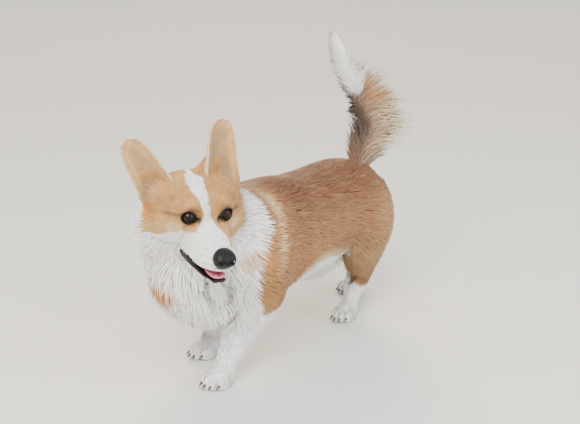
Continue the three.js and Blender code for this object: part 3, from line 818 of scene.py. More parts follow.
# The dog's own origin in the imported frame, from where the eyes are
eye_middles = [sum(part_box(f"eye_{name}"), Vector()) / 2 for name in ("left", "right")]
ORIGIN = np.array(sum(eye_middles, Vector()) / 2) * 1000 - from_head(np.array([0, 3.0, 0]))


def to_frame(points_mm):
    return (points_mm + ORIGIN) / 1000


coarse, coarse_count, grid_low = grid_points(SKIN_LOW, SKIN_HIGH, SKIN_CELL * COARSE)
coarse_values = skin_value(coarse).reshape(coarse_count)


def finer(values, times):
    """Values between grid points, by straight lines along each axis in turn."""
    for axis in range(3):
        count = values.shape[axis]
        at = np.arange((count - 1) * times + 1) / times
        first = np.minimum(at.astype(int), count - 2)
        share = (at - first).astype(np.float32).reshape([-1 if i == axis else 1 for i in range(3)])
        values = mix(np.take(values, first, axis), np.take(values, first + 1, axis), share)
    return values


skin_values = finer(coarse_values, COARSE)
near_surface = np.argwhere(np.abs(skin_values) < CLOSE)
skin_values[tuple(near_surface.T)] = skin_value((grid_low + near_surface * SKIN_CELL).astype(np.float32))
skin_points, skin_faces = surface_net(skin_values, grid_low, SKIN_CELL)


def divided(points, faces, wanted):
    """Splits the edges of the wanted faces in two. The faces come back as triangles."""
    sheet = bmesh.new()
    mesh = bpy.data.meshes.new("dividing")
    mesh.from_pydata(points.tolist(), [], faces.tolist())
    sheet.from_mesh(mesh)
    sheet.faces.ensure_lookup_table()
    edges = {e for i in np.flatnonzero(wanted) for e in sheet.faces[i].edges}
    bmesh.ops.subdivide_edges(sheet, edges=list(edges), cuts=1, use_grid_fill=True)
    sheet.to_mesh(mesh)
    sheet.free()
    points = np.empty(len(mesh.vertices) * 3, np.float32)
    mesh.vertices.foreach_get("co", points)
    mesh.calc_loop_triangles()
    triangles = np.empty(len(mesh.loop_triangles) * 3, np.int32)
    mesh.loop_triangles.foreach_get("vertices", triangles)
    bpy.data.meshes.remove(mesh)
    return points.reshape(-1, 3), triangles.reshape(-1, 3)


def face_and_ears(q):
    return in_box(q, (-75, -100, -90), (75, 36, 45)) | in_box(q, (-140, 40, 20), (90, 130, 130))


def from_eyes(q):
    """How far points are from the middle of the nearer eye."""
    return np.minimum(*[np.linalg.norm(q - eye_frame(side)[0], axis=1) for side in (1, -1)])


def lids_and_lips(q):
    lids = (from_eyes(q) < 17) & (q[:, 1] < 4)
    return lids | in_box(q, (-40, -84, -84), (40, 20, -38)) & (np.abs(mouth_gap(q)) < 4)


# The face is divided once more than the body, and the lids and the lips twice.
HEAD_BOX = (-140, -102, -92), (95, 132, 132)
skin_points = settle(skin_value, skin_points, 1, 1.5)
for is_fine, reach in ((face_and_ears, 1.0), (lids_and_lips, 0.7)):
    middles = in_head(skin_points[skin_faces].mean(1))
    skin_points, skin_faces = divided(skin_points, skin_faces, is_fine(middles))
    on_head = in_box(in_head(skin_points), *HEAD_BOX)
    skin_points[on_head] = settle(skin_value, skin_points[on_head], 1, reach)


def normals_of(points, faces):
    """Each point's normal, and each triangle's area."""
    a, b, c = (points[faces[:, i]] for i in range(3))
    across = np.cross(b - a, c - a)
    total = np.zeros_like(points)
    for i in range(3):
        np.add.at(total, faces[:, i], across)
    return unit(total), np.linalg.norm(across, axis=1) / 2


skin_normals, skin_areas = normals_of(skin_points, skin_faces)

# Markings of the hide and the coat, with some painted shade and light
# A red and white coat: white collar, chest, legs, blaze and tail tip, a red back that pales to fawn below,
# and a sable plume. The pigment is in each hair, so the hide under it is painted by the same function.
# Painted shade lies in the groin, low on the flanks and in a crease behind each eye, and the ears' pale rims
# are partly painted rim light.

WHITE, CREAM = (np.array(linear(c)) for c in ("#f6f4f0", "#ead9b6"))
RED, FOX, TAN, FAWN = (np.array(linear(c)) for c in ("#6f4529", "#9a6c42", "#b98951", "#cba56c"))
ORANGE, DRAB, UMBER = (np.array(linear(c)) for c in ("#c97c34", "#a78b6e", "#5e4839"))
SABLE, BLACK = (np.array(linear(c)) for c in ("#34261e", "#0b0908"))
FLESH, PINK = (np.array(linear(c)) for c in ("#a88564", "#a85f5c"))


def drift(p, size, seed):
    """A smooth random number, mostly from -1 to 1, that changes over about the given size."""
    chance = np.random.default_rng(seed)
    waves = unit(chance.normal(size=(9, 3))) * chance.uniform(0.5, 1.6, (9, 1)) * 3 / size
    return np.sin(p @ waves.T + chance.uniform(0, 6.3, 9)).sum(1) / 3


def paint(under, over, amount):
    return under + (over - under) * amount[:, None]


def spot(p, centre, half):
    """1 in the middle of an oval patch, and 0 outside it."""
    return 1 - ramp(np.linalg.norm((p - centre) / half, axis=1), 0.6, 1.15)


# Where the white ends. Each line is a row of heights, or steps along the body, with its place there.
COLLAR_Z = [60, 104, 132, 165, 192, 212, 233, 246, 269, 280, 290]
COLLAR_Y = [-155, -166, -184, -187, -184, -176, -159, -150, -144, -145, -140]
UNDER_Y = [-180, -150, -90, -60, -42, -5, 19, 60, 80, 110, 136]
UNDER_Z = [104, 101, 108, 124, 135, 146, 149, 142, 136, 132, 126]
BAND_Z = [180, 203, 222, 245, 262, 277, 290]
BAND_Y = [-146, -138, -130, -121, -114, -116, -122]
THIGH_Z = [50, 62, 80, 110, 140]
THIGH_FRONT = {1: [188, 160, 130, 110, 95], -1: [300, 284, 262, 216, 150]}


def body_marking_and_shade(p):
    x, y, z = p.T
    wander = 2.2 * drift(p, 16, 1) + 1.0 * drift(p, 6, 2)
    back = paint(np.tile(FOX, (len(p), 1)), RED, ramp(z, 175, 275) * ramp(y, -110, -60))
    back = paint(back, FAWN, 0.4 * ramp(-z, -176, -118) * ramp(y, -60, 0))
    band = np.exp(-np.square((y - np.interp(z, BAND_Z, BAND_Y)) / 11)) * ramp(z, 150, 195)
    back = paint(back, mix(FAWN, CREAM, 0.3), 0.9 * band * ramp(-z, -292, -272))
    back = paint(back, mix(TAN, FOX, 0.35), 0.85 * (1 - ramp(y, -150, -134)))
    back = paint(back, FAWN, 0.45 * ramp(y, 150, 230) * ramp(-z, -262, -180) * ramp(z, 90, 130))
    # Umber over the lower flank and thigh: partly their olive-brown hair, partly painted shade low on the
    # side of the body.
    back = paint(back, UMBER, 0.42 * ramp(-z, -205, -135) * ramp(y, -10, 80) * ramp(240 - y, 0, 40))
    back = paint(back, UMBER, 0.35 * ramp(-z, -100, -66) * ramp(y, 120, 140))
    back = paint(back, CREAM, 0.6 * ramp(y, 246, 274) * ramp(-z, -262, -225) * ramp(z, 100, 150))
    back = paint(back, RED, 0.16 * np.clip(drift(p * [1.8, 0.35, 1.8], 10, 3), 0, 1))
    back = paint(back, FAWN, 0.15 * np.clip(drift(p * [1.9, 0.3, 1.9], 8, 4), 0, 1))
    limit = np.interp(y, UNDER_Y, UNDER_Z)
    back = paint(back, CREAM, 0.6 * ramp(limit + 22 - z, 0, 24) * ramp(y, -80, -40) * ramp(-y, -150, -110))
    front = np.where(x > 0, np.interp(z, THIGH_Z, THIGH_FRONT[1]), np.interp(z, THIGH_Z, THIGH_FRONT[-1]))
    rear_leg = ramp(y - front + wander, -2, 2) * ramp(np.abs(x), 24, 30) * ramp(z + wander, 54, 60)
    on_leg = (y > 136) & (z < 140)
    trunk_red = np.where(on_leg, rear_leg, ramp(z - np.maximum(limit, 118 * (y > 136)) + wander, -3, 4))
    red = ramp(y - np.interp(z, COLLAR_Z, COLLAR_Y) + wander, -1.5, 2.5) * trunk_red
    red = np.where((y < 0) & (z < 104 + wander), 0, red)
    coat = paint(np.tile(WHITE, (len(p), 1)), back, red)
    # Painted shade in the groin, between the belly and the left thigh.
    coat = paint(coat, SABLE, 0.5 * spot(p, (34, 118, 122), (40, 24, 14)))
    coat = paint(coat, FAWN, 0.7 * spot(p + wander[:, None] * 1.5, (90, -195, 200), (30, 24, 16)))
    breast_patch = spot(p + wander[:, None], (-38, -268, 148), (38, 34, 19))
    return paint(coat, mix(ORANGE, FAWN, 0.2), 0.95 * breast_patch)


# The blaze's edges and the lower edges of the mask, in the head's frame
BLAZE_S = [-56, -49, -37, -28, -19, -7, -1, 10, 25, 41, 54, 71, 92, 115]
BLAZE_RIGHT = [-60, -27, -24, -19, -14, -10, -10, -12, -15, -17, -19, -20, -16, -5]
BLAZE_LEFT_S = [-90, -81, -65, -51, -36, -22, -8, 13, 27, 59, 76, 100]
BLAZE_LEFT = [60, 14, 15, 13, 7, 3, 0, -2, -1, 2, 5, -4]
RIGHT_CHEEK_Y = [-24, -15, -6, 0, 6, 17, 39, 52, 58, 65, 71, 75, 82]
RIGHT_CHEEK_Z = [-15, -18, -20.5, -21, -24.5, -30.5, -38.5, -41, -30, -22, -14, 0, 14]
LEFT_CHEEK_Y = [-62, -58, -30, 0, 14, 22, 36, 44, 55, 63]
LEFT_CHEEK_Z = [-22, -24, -36, -42, -48, -41, -36, -29, -19, -8]
# A fold behind the outer corner of each eye, drawn as a thin umber line: painted shade of the crease.
CREASE_SHADE_LINE = Sweep(
    [
        ([41, -1, 5.5], 1, 1),
        ([44, 5, 2], 1, 1),
        ([50.5, 13, 2.5], 1, 1),
        ([58, 21, 3], 0.5, 0.5),
    ],
    (0, 0, 1),
)


def ear_marking_and_rim_light(q, name, coat, inner):
    """Fawn outside with a cream edge, partly pale hair and partly painted rim light, and thin pale hair over
    flesh inside.
    """
    t, within, _ = on_ear(name, q)
    lining = paint(np.tile(FAWN, (len(q), 1)), FLESH, 0.75 * ramp(within, 3, 13) * ramp(1 - t, 0.0, 0.3))
    lining = paint(lining, CREAM, 0.5 * ramp(within, 6, 12) * ramp(-t, -0.3, 0.0))
    own = paint(np.tile(mix(TAN, FAWN, 0.3), (len(q), 1)), lining, inner)
    # A cream edge round the rim: partly pale hair, partly painted rim light.
    edge_and_rim_light = paint(own, CREAM, 0.6 * (1 - ramp(within, -1.5, 0.8)))
    return paint(coat, edge_and_rim_light, ramp(t, mix(-0.02, -0.3, inner), mix(0.12, -0.1, inner)))


def head_marking_and_shade(q):
    x, y, z = q.T
    wander = 1.1 * drift(q, 9, 11) + 0.5 * drift(q, 4, 12)
    tan = paint(np.tile(TAN, (len(q), 1)), FAWN, 0.65 * ramp(-z, -6, 26))
    tan = paint(tan, FAWN, 0.4 * np.clip(drift(q, 16, 13), 0, 1))
    tan = paint(tan, FOX, 0.5 * np.clip(drift(q, 13, 14), 0, 1) * ramp(z, 4, 16) * ramp(30 - z, 0, 12))
    for side in (1, -1):
        tan = paint(tan, FOX, 0.8 * spot(q, (side * 21, -7, 15), (13, 13, 6)))
        tan = paint(tan, CREAM, 0.35 * spot(q, (side * 46, 4, -16), (14, 14, 10)))
        tan = paint(tan, ORANGE, 0.7 * spot(q, (side * 74, 52, -8), (16, 20, 16)))
        hollow = (-65, 57, 22) if side < 0 else (54, 61, 40)
        tan = paint(tan, mix(FLESH, FAWN, 0.35), 0.9 * spot(q, hollow, (14, 15, 27)))
        centre, axes = eye_frame(side)
        e = (q - centre) @ axes
        tan = paint(tan, SABLE, 0.6 * (1 - ramp(lid_opening(e), 1.5, 5.5)) * ramp(e[:, 2], 0, 4))
        tan = paint(tan, SABLE, 0.75 * spot(q, (side * 13, -13, -2), (6, 9, 6)))
    aside = np.column_stack([np.abs(x), y, z])
    # Painted shade along the crease behind each eye.
    tan = paint(tan, UMBER, 0.85 * (1 - ramp(CREASE_SHADE_LINE(aside), 0.3, 3.0)))
    s = y + z
    right = x - np.interp(s, BLAZE_S, BLAZE_RIGHT) + wander
    left = x - np.interp(s, BLAZE_LEFT_S, BLAZE_LEFT) + wander
    below_right = z - np.interp(y, RIGHT_CHEEK_Y, RIGHT_CHEEK_Z) + wander
    below_left = z - np.interp(y, LEFT_CHEEK_Y, LEFT_CHEEK_Z) + wander
    mask_right = ramp(-right, -1, 1.6) * ramp(below_right, -1.5, 2)
    mask_left = ramp(left, -1, 1.6) * ramp(below_left, -1.5, 2)
    mask = np.where(x < np.interp(s, [-60, 0, 100], [0, -5, -8]), mask_right, mask_left)
    coat = paint(np.tile(WHITE, (len(q), 1)), tan, mask)
    freckles = ramp(drift(q, 3.2, 15), 1.05, 1.35) * ramp(-y, 34, 50) * ramp(z, -54, -46)
    return paint(coat, SABLE, 0.35 * freckles)


# The plume's outline seen from the side: at each height, how far along x + y its edges are.
PLUME_FRONT_Z = [275, 300, 321, 338, 365, 391, 419, 440, 457, 510]
PLUME_FRONT = [204, 219, 225, 228, 221, 214, 194, 178, 171, 168]
PLUME_BACK_Z = [276, 292, 300, 316, 326, 339, 353, 367, 382, 394, 410, 435, 446, 468, 479, 494, 510]
PLUME_BACK = [307, 324, 350, 376, 388, 395, 387, 384, 373, 360, 338, 307, 269, 218, 195, 180, 172]
TIP_ALONG = [195, 214, 239, 259, 270, 275]
TIP_Z = [412, 402, 401, 411, 425, 470]


def tail_marking(p):
    """Dark along the bone, paler towards the feathered edge, and a white tip."""
    x, y, z = p.T
    along = x + y
    front, rear = np.interp(z, PLUME_FRONT_Z, PLUME_FRONT), np.interp(z, PLUME_BACK_Z, PLUME_BACK)
    out = (along - front) / np.maximum(rear - front, 5) + 0.05 * drift(p, 18, 21)
    plume = paint(np.tile(UMBER, (len(p), 1)), DRAB, ramp(out, 0.15, 0.6))
    plume = paint(plume, mix(TAN, ORANGE, 0.4), 0.75 * ramp(z, 366, 394) * ramp(out, 0.35, 0.6))
    plume = paint(plume, CREAM, 0.95 * ramp(out, 0.6, 0.97))
    plume = paint(plume, mix(TAN, RED, 0.4), 0.85 * ramp(-z, -322, -300) * ramp(0.25 - out, 0, 0.2))
    plume = paint(plume, SABLE, 0.5 * spot(p, (4, 240, 345), (24, 24, 40)))
    plume = paint(plume, BLACK, 0.85 * spot(p, (4, 240, 333), (14, 14, 14)))
    plume = paint(plume, mix(RED, UMBER, 0.4), 0.7 * ramp(-z, -306, -280))
    return paint(plume, WHITE, ramp(z + 3 * drift(p, 14, 22) - np.interp(along, TIP_ALONG, TIP_Z), -5, 4))


def ear_inside(q, name):
    """1 on the ear's open side."""
    _, within, behind = on_ear(name, q)
    return ramp(-behind, -0.8, 0.8) * ramp(within, 0.0, 2.5)


def on_ears(q):
    """How much each point belongs to each ear."""
    return {name: 1 - ramp(ear(name)(q), 0.8, 4.0) for name in EARS}


def marking(p, part):
    """The coat's colour at points with the given shares of the parts, as linear red, green and blue, with
    its painted shade and painted rim light.
    """
    q = in_head(p)
    left_cheek = ramp(q[:, 0], 45, 55) * ramp(102 - q[:, 0], 0, 8) * ramp(66 - q[:, 1], 0, 6)
    left_cheek *= ramp(q[:, 2], -64, -56) * ramp(30 - q[:, 2], 0, 8)
    share = np.maximum(ramp(part["head"], 0.3, 0.7), left_cheek)
    coat = paint(body_marking_and_shade(p), head_marking_and_shade(q), share * ramp(102 - q[:, 1], 0, 12))
    for name, own in on_ears(q).items():
        worn = own > 0
        marked = ear_marking_and_rim_light(q[worn], name, coat[worn], ear_inside(q[worn], name))
        coat[worn] = paint(coat[worn], marked, own[worn])
    return paint(coat, tail_marking(p), ramp(part["tail"], 0.3, 0.7))


def parts_of(p):
    return shares(region_values(p))


skin_parts = parts_of(skin_points.astype(np.float32))
skin_coat = marking(skin_points, skin_parts)


MOUTH_BOX = (-45, -90, -90), (45, 18, -30)


def bare(p):
    """1 where the hide is bare: at the lids, the lips, under the nose and the soles."""
    q = in_head(p)
    _, y, z = q.T
    lids = np.zeros(len(p))
    for side in (1, -1):
        centre, axes = eye_frame(side)
        e = (q - centre) @ axes
        lids = np.maximum(lids, (1 - ramp(lid_opening(e), 1.4, 2.6)) * (e[:, 2] > 0))
    gap = mouth_gap(q)
    below = z < (lip_height(y, UPPER_LIP) + lip_height(y, LOWER_LIP)) / 2
    thicker = 2 * ramp(-y, 30, 50)
    black, haired = np.where(below, 4.5 + thicker, 1.4), np.where(below, 6.5 + thicker, 2.6)
    lip = (1 - ramp(gap, black, haired)) * in_box(q, *MOUTH_BOX)
    under_nose = ramp(-y, 66, 69) * ramp(z, -50, -46) * in_box(q, (-30, -95, -60), (30, -50, 0))
    return np.maximum.reduce([lids, lip, under_nose, 1 - ramp(p[:, 2], 1.0, 2.5)])


skin_bare = bare(skin_points)


def bare_colour(p):
    """Black lids and lips, mottled with pink inside the mouth."""
    q = in_head(p)
    inside = (1 - ramp(mouth_gap(q), -2.5, -0.5)) * in_box(q, *MOUTH_BOX)
    mottled = ramp(drift(q, 4, 31), -0.2, 0.5)
    return paint(np.tile(BLACK, (len(p), 1)), PINK, 0.8 * inside * mottled)


HIDE_SHADE_UNDER_HAIR = 0.82  # how bright the hide is painted: painted shade of the hair over it
skin_paint = paint(skin_coat * HIDE_SHADE_UNDER_HAIR, bare_colour(skin_points), skin_bare)
skin_head = in_head(skin_points)
for name, own in on_ears(skin_head).items():
    skin_paint = paint(skin_paint, skin_coat, own)

skin = mesh_object("skin", skin_points, skin_faces)


def colour_corners(mesh, colours):
    """Stores a colour at each point of a mesh, for its material to read."""
    layer = mesh.color_attributes.new("hair_colour", "FLOAT_COLOR", "POINT")
    opaque = np.column_stack([colours, np.ones(len(colours))])
    layer.data.foreach_set("color", opaque.astype(np.float32).ravel())


colour_corners(skin.data, skin_paint)

# Hide: bare or thinly haired skin. It has a dull, slightly damp look, and pores about 0.5 mm apart,
# which are drawn at 1.2 mm so that they show.
hide, hide_tree, hide_shader = new_material("dog_hide", Roughness=0.55, Specular_IOR_Level=0.35)
hide_paint = node(hide_tree, "ShaderNodeAttribute", {"attribute_name": "hair_colour"})
hide_place = node(hide_tree, "ShaderNodeTexCoord")
PORE_SPACING = 0.0012
pores = node(
    hide_tree,
    "ShaderNodeTexNoise",
    Vector=hide_place.outputs["Object"],
    Scale=1 / PORE_SPACING,
    Detail=2.0,
)
hide_bump = node(hide_tree, "ShaderNodeBump", Height=pores.outputs[0], Distance=0.0003, Strength=0.5)
hide_tree.links.new(hide_paint.outputs["Color"], hide_shader.inputs["Base Color"])
hide_tree.links.new(hide_bump.outputs[0], hide_shader.inputs["Normal"])
skin.data.materials.append(hide)
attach(skin, "root")
FLESH_NODES = [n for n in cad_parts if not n.startswith(("eye", "nose", "tongue")) and "claw" not in n]
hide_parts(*FLESH_NODES)

# Coat
# Guard hairs gathered in tufts, which grow from the hide and lie along the body from the nose to the tail.
# They are short on the face, the ears and the feet, and long on the neck, the chest and the thighs.


def unwrapped(piece):
    """An unwrap of the hide's own shape: the place of each corner of its triangles on the map."""
    piece.data.uv_layers.new(name="OFBake")
    bpy.context.view_layer.objects.active = piece
    piece.select_set(True)
    bpy.ops.object.mode_set(mode="EDIT")
    bpy.ops.mesh.select_all(action="SELECT")
    bpy.ops.uv.smart_project(angle_limit=math.radians(66), island_margin=0.002)
    bpy.ops.object.mode_set(mode="OBJECT")
    piece.select_set(False)
    places = np.empty(len(piece.data.loops) * 2, np.float32)
    piece.data.uv_layers["OFBake"].data.foreach_get("uv", places)
    return places.reshape(-1, 3, 2)


skin_map = unwrapped(skin)
ground = BVHTree.FromPolygons(skin_points.tolist(), skin_faces.tolist())
TUFT_PATCH = 0.003  # across, on the map of the hide
FARTHEST = 60.0  # from the hide, for a point that lands on it


def nearest_on_skin(points):
    """The nearest place on the hide to each point, and the triangle there."""
    found = [ground.find_nearest(p, FARTHEST) for p in points.tolist()]
    places = np.array([f[0] if f[0] else p for f, p in zip(found, points.tolist())])
    return places, np.array([f[2] or 0 for f in found])


class Roots:
    """Places spread over the hide where tufts grow, with what the hide is like there."""

    def __init__(self, chance, per_area):
        wanted = per_area[skin_faces].mean(1) * skin_areas
        count = np.floor(wanted + chance.random(len(skin_faces))).astype(int)
        chosen = np.repeat(np.arange(len(skin_faces)), count)
        share = chance.random((len(chosen), 2))
        share[share.sum(1) > 1] = 1 - share[share.sum(1) > 1]
        self.weights = np.column_stack([1 - share.sum(1), share])[:, :, None]
        self.corners = skin_faces[chosen]
        self.at = self.mean(skin_points)
        self.normal = unit(self.mean(skin_normals))
        self.map = (skin_map[chosen] * self.weights).sum(1)

    def mean(self, values):
        return (values[self.corners] * (self.weights if values.ndim > 1 else self.weights[:, :, 0])).sum(1)


def along_skin(way, normal):
    return unit(way - (way * normal).sum(1)[:, None] * normal)


def hair_way(p, part):
    """Which way the coat lies."""
    x, y, z = p.T
    nought = np.zeros(len(p))
    thigh = ramp(y, 180, 262) * ramp(-z, -272, -215)
    back = np.column_stack([nought, 1 - 0.5 * thigh, -0.12 - 0.4 * ramp(-z, -240, -120) - 1.1 * thigh])
    front = ramp(-y, 155, 235) * ramp(-z, -300, -240)
    chest = np.column_stack([0.1 * np.sign(x), mix(1.0, 0.12, front), mix(-0.45, -1.0, front)])
    q = in_head(p)
    from_nose = unit(q - (0, NOSE_TIP - 4, -30)) + [0, 0.2, 0]
    from_nose[:, 2] -= 0.6 * ramp(q[:, 1], 10, 60) * ramp(-q[:, 2], 0, 30)
    leg = np.tile([0.0, 0.3, -1.0], (len(p), 1))
    paw = np.tile([0.0, -1.0, -0.3], (len(p), 1))
    plume = np.tile([0.1, 0.1, 1.0], (len(p), 1))
    way = np.zeros((len(p), 3))
    for name, own in part.items():
        kinds = {"trunk": back, "chest": chest, "head": from_nose @ HEAD_AXES.T, "tail": plume}
        field = kinds.get(name, paw if "paw" in name else leg)
        way += field * own[:, None]
    for name, own in on_ears(q).items():
        root, axes, _ = ear_frame(name)
        spread = 0.5 * ((q - root) @ axes)[:, 0:1] / EAR_WIDTH[name] * axes[:, 0]
        way = paint(way, (axes[:, 2] + spread) @ HEAD_AXES.T, own)
    return way


# Large odd numbers turn the corner of a cell into a number that looks random.
SCATTER, SCATTER_SIZE = [[12.99, 78.23, 37.72], [39.35, 11.14, 83.16], [73.16, 52.24, 9.15]], 43758.5


def clumps(points, size, seed):
    """The middle of the clump that each point belongs to, and a random number from 0 to 1 for each clump."""
    cell = np.floor(points / size)
    best = np.full(len(points), np.inf)
    middle = np.zeros_like(points)
    number = np.zeros(len(points))
    for step in np.ndindex(3, 3, 3):
        at = cell + np.array(step) - 1
        mixed = np.sin(at @ np.array(SCATTER) + seed)
        jitter = np.abs(mixed * SCATTER_SIZE) % 1
        place = (at + jitter) * size
        gap = np.square(points - place).sum(1)
        nearer = gap < best
        best[nearer] = gap[nearer]
        middle[nearer] = place[nearer]
        number[nearer] = (jitter.sum(1) % 1)[nearer]
    return middle, number


# How wide a tuft is at each of its rings, from its root, for its number of rings
SWELL = {2: [0.75, 1.0], 3: [0.75, 1.0, 0.6], 4: [0.62, 1.0, 0.86, 0.55]}


def tuft_mesh(name, line, side, over, width, thick, colours, places, lean):
    """One mesh of closed three-sided tufts. line holds each tuft's middle at its rings and then its tip.
    The more they lean on "over", the more evenly they catch the light."""
    count, rings = len(line), line.shape[1] - 1
    swell = np.array(SWELL[rings])
    half = (width[:, None] * swell / 2)[:, :, None]
    rise = (thick[:, None] * swell)[:, :, None]
    side, over = side[:, None, :], over[:, None, :]
    middle = line[:, :-1]
    corners = np.stack([middle - side * half, middle + side * half, middle + over * rise], 2)
    points = np.concatenate([corners.reshape(count, rings * 3, 3), line[:, -1:]], 1)
    faces = [[0, 2, 1]]
    for ring in range(rings - 1):
        for a, b in ((0, 1), (1, 2), (2, 0)):
            low, high = 3 * ring, 3 * ring + 3
            faces += [[low + a, low + b, high + b], [low + a, high + b, high + a]]
    top, tip = 3 * rings - 3, 3 * rings
    faces += [[top + a, top + b, tip] for a, b in ((0, 1), (1, 2), (2, 0))]
    faces = np.array(faces)[:, ::-1]
    per_tuft = 3 * rings + 1
    every = (faces[None] + per_tuft * np.arange(count)[:, None, None]).reshape(-1, 3)
    piece = mesh_object(name, points.reshape(-1, 3), every)
    outward = np.stack([-side * 0.8 - over * 0.1, side * 0.8 - over * 0.1, over], 2)
    outward = np.broadcast_to(outward, (count, rings, 3, 3)).reshape(count, rings * 3, 3)
    outward = unit(np.concatenate([outward * 0.5 + over * lean, over], 1))
    piece.data.normals_split_custom_set_from_vertices(outward.reshape(-1, 3))
    share = np.append(np.repeat(np.arange(rings) / rings, 3), 1.0)
    tones = mix(colours[0][:, None], colours[1][:, None], np.minimum(share * 1.5, 1)[None, :, None])
    colour_corners(piece.data, tones.reshape(-1, 3))
    across = np.append(np.tile([0.0, 1.0, 0.5], rings), 0.5)
    patch = TUFT_PATCH * (np.column_stack([across, share]) - 0.5)
    layer = piece.data.uv_layers.new(name="OFBake")
    corner_map = places[:, None, None] + patch[faces][None]
    layer.data.foreach_set("uv", np.clip(corner_map, 0, 1).astype(np.float32).ravel())
    return piece


# Guard hair: keratin, smooth along each hair and rough across many, so a whole coat has a soft broad sheen.
guard_hair, hair_tree, hair_shader = new_material(
    "guard_hair",
    Roughness=0.6,
    Specular_IOR_Level=0.3,
    Sheen_Weight=0.3,
    Sheen_Roughness=0.5,
)
hair_paint = node(hair_tree, "ShaderNodeAttribute", {"attribute_name": "hair_colour"})
hair_place = node(hair_tree, "ShaderNodeTexCoord")
HAIR_SPACING = 0.0009  # a single hair is 0.05 mm, far too fine to show
strands = node(
    hair_tree,
    "ShaderNodeTexNoise",
    Vector=hair_place.outputs["Object"],
    Scale=1 / HAIR_SPACING,
    Detail=2.0,
)
tone = node(
    hair_tree,
    "ShaderNodeMapRange",
    Value=strands.outputs[0],
    From_Min=0.3,
    From_Max=0.7,
    To_Min=0.86,
    To_Max=1.1,
)
toned = node(
    hair_tree,
    "ShaderNodeVectorMath",
    {"operation": "SCALE"},
    _0=hair_paint.outputs["Color"],
    Scale=tone.outputs[0],
)
hair_tree.links.new(toned.outputs[0], hair_shader.inputs["Base Color"])

# Each part's tufts: the space between their roots, their length and their width in millimetres, how many
# rings they have, how far their tips gather in clumps, and how unevenly they stand off the hide.
TUFTS = {
    "trunk": (2.65, 24, 1.6, 3, 0.15, 0.1),
    "chest": (2.2, 38, 1.8, 4, 0.24, 0.17),
    "foreleg": (1.9, 13, 1.4, 2, 0.08, 0.14),
    "hindleg": (1.9, 14, 1.4, 2, 0.08, 0.14),
    "forepaw": (1.6, 6.5, 1.2, 2, 0.05, 0.12),
    "hindpaw": (1.6, 6.5, 1.2, 2, 0.05, 0.12),
    "tail": (2.2, 18, 1.8, 3, 0.2, 0.3),
    "head": (1.75, 11, 1.25, 3, 0.15, 0.15),
    "ear": (1.8, 7.5, 1.2, 2, 0.05, 0.15),
}
KINDS = list(TUFTS)


def kind_shares(part, q):
    """The shares of the parts, with left and right together and the ears apart from the head."""
    kinds = {kind: np.zeros(len(q)) for kind in KINDS}
    for name, own in part.items():
        kinds[name.split("_")[0]] += own
    on_either_ear = np.clip(sum(on_ears(q).values()), 0, 1)
    for kind in KINDS:
        kinds[kind] = kinds[kind] * (1 - on_either_ear)
    kinds["ear"] = on_either_ear
    return np.stack([kinds[kind] for kind in KINDS], 1)


skin_kinds = kind_shares(skin_parts, skin_head)
spacing = np.array([TUFTS[k][0] for k in KINDS])
muzzle_near = ramp(-skin_head[:, 1], -6, 30) * (skin_kinds[:, KINDS.index("head")] > 0.5)
skin_spacing = (skin_kinds @ spacing) * (1 - 0.22 * muzzle_near)
per_area = np.where(skin_bare > 0.4, 0, 1 / skin_spacing**2)
chance = np.random.default_rng(7)
roots = Roots(chance, per_area)
root_parts = {name: roots.mean(own) for name, own in skin_parts.items()}
root_kinds = roots.mean(skin_kinds)
root_head = in_head(roots.at)


def of_kind(column):
    """A column of the tufts' table at every root."""
    return root_kinds @ np.array([TUFTS[k][column] for k in KINDS], float)


n_roots = len(roots.at)
length = of_kind(1) * chance.uniform(0.75, 1.2, n_roots)
width = of_kind(2) * chance.uniform(0.75, 1.25, n_roots)
gather, uneven = of_kind(4), of_kind(5)
facial = root_kinds[:, KINDS.index("head")]
hx, hy, hz = root_head.T
face_length = 3.4 + 3.6 * ramp(hy, -40, 30) + 14 * ramp(hy, 20, 75) * ramp(-hz, -14, 30)
face_length += 6 * ramp(-hz, 62, 84)
lids_near = from_eyes(root_head)
near_gap = np.where(hy < 22, mouth_gap(root_head), OUTSIDE)
face_length *= mix(0.25, 1.0, ramp(near_gap, 2, 14)) * mix(0.5, 1.0, ramp(lids_near, 13, 24))
face_length += 20 * ramp(-hz, 60, 80) * ramp(hy, -45, 0) * ramp(near_gap, 8, 18)
length = mix(length, face_length * chance.uniform(0.8, 1.2, n_roots), ramp(facial, 0.5, 0.95))
width = width * mix(1.0, 0.72 + 0.4 * ramp(length, 6, 16), ramp(facial, 0.5, 0.95))
breeches = ramp(roots.at[:, 1], 215, 268) * ramp(-roots.at[:, 2], -262, -200) * root_kinds[:, 0]
length = length * (1 + 0.6 * breeches)

# Where the longest hairs stand off beyond the rest: the ruff, the cheeks, the bib, the belly and the thighs
bx, by, bz = roots.at.T
chest_share, trunk_share = root_kinds[:, KINDS.index("chest")], root_kinds[:, KINDS.index("trunk")]
stand_off = facial * 13 * ramp(-hx, 0, 20) * ramp(hy, 26, 56) * ramp(-hz, 2, 30)
stand_off += facial * 18 * ramp(hx, 30, 50) * ramp(hy, 10, 32) * ramp(-hz, -16, 4)
stand_off += chest_share * (9 * ramp(-bx, 20, 70) + 11 * ramp(-bz, -135, -95))
stand_off += trunk_share * 17 * ramp(-bz, -140, -112) * ramp(by, -50, 50) * ramp(190 - by, 0, 40)
leg_share = root_kinds[:, KINDS.index("hindleg")] * ramp(bz, 60, 95)
stand_off += leg_share * 9 * ramp(-roots.normal[:, 1], 0.0, 0.6)
chin = 13 * (facial + chest_share) * ramp(-hz, 66, 90) * ramp(near_gap, 8, 20)
stand_off += chin * ramp(165 + hz, 0, 40) * ramp(60 - np.abs(hx), 0, 25)
stand_off = np.minimum(stand_off, mix(13, 30, ramp(bx, -80, -40)))
length = length + 0.8 * stand_off

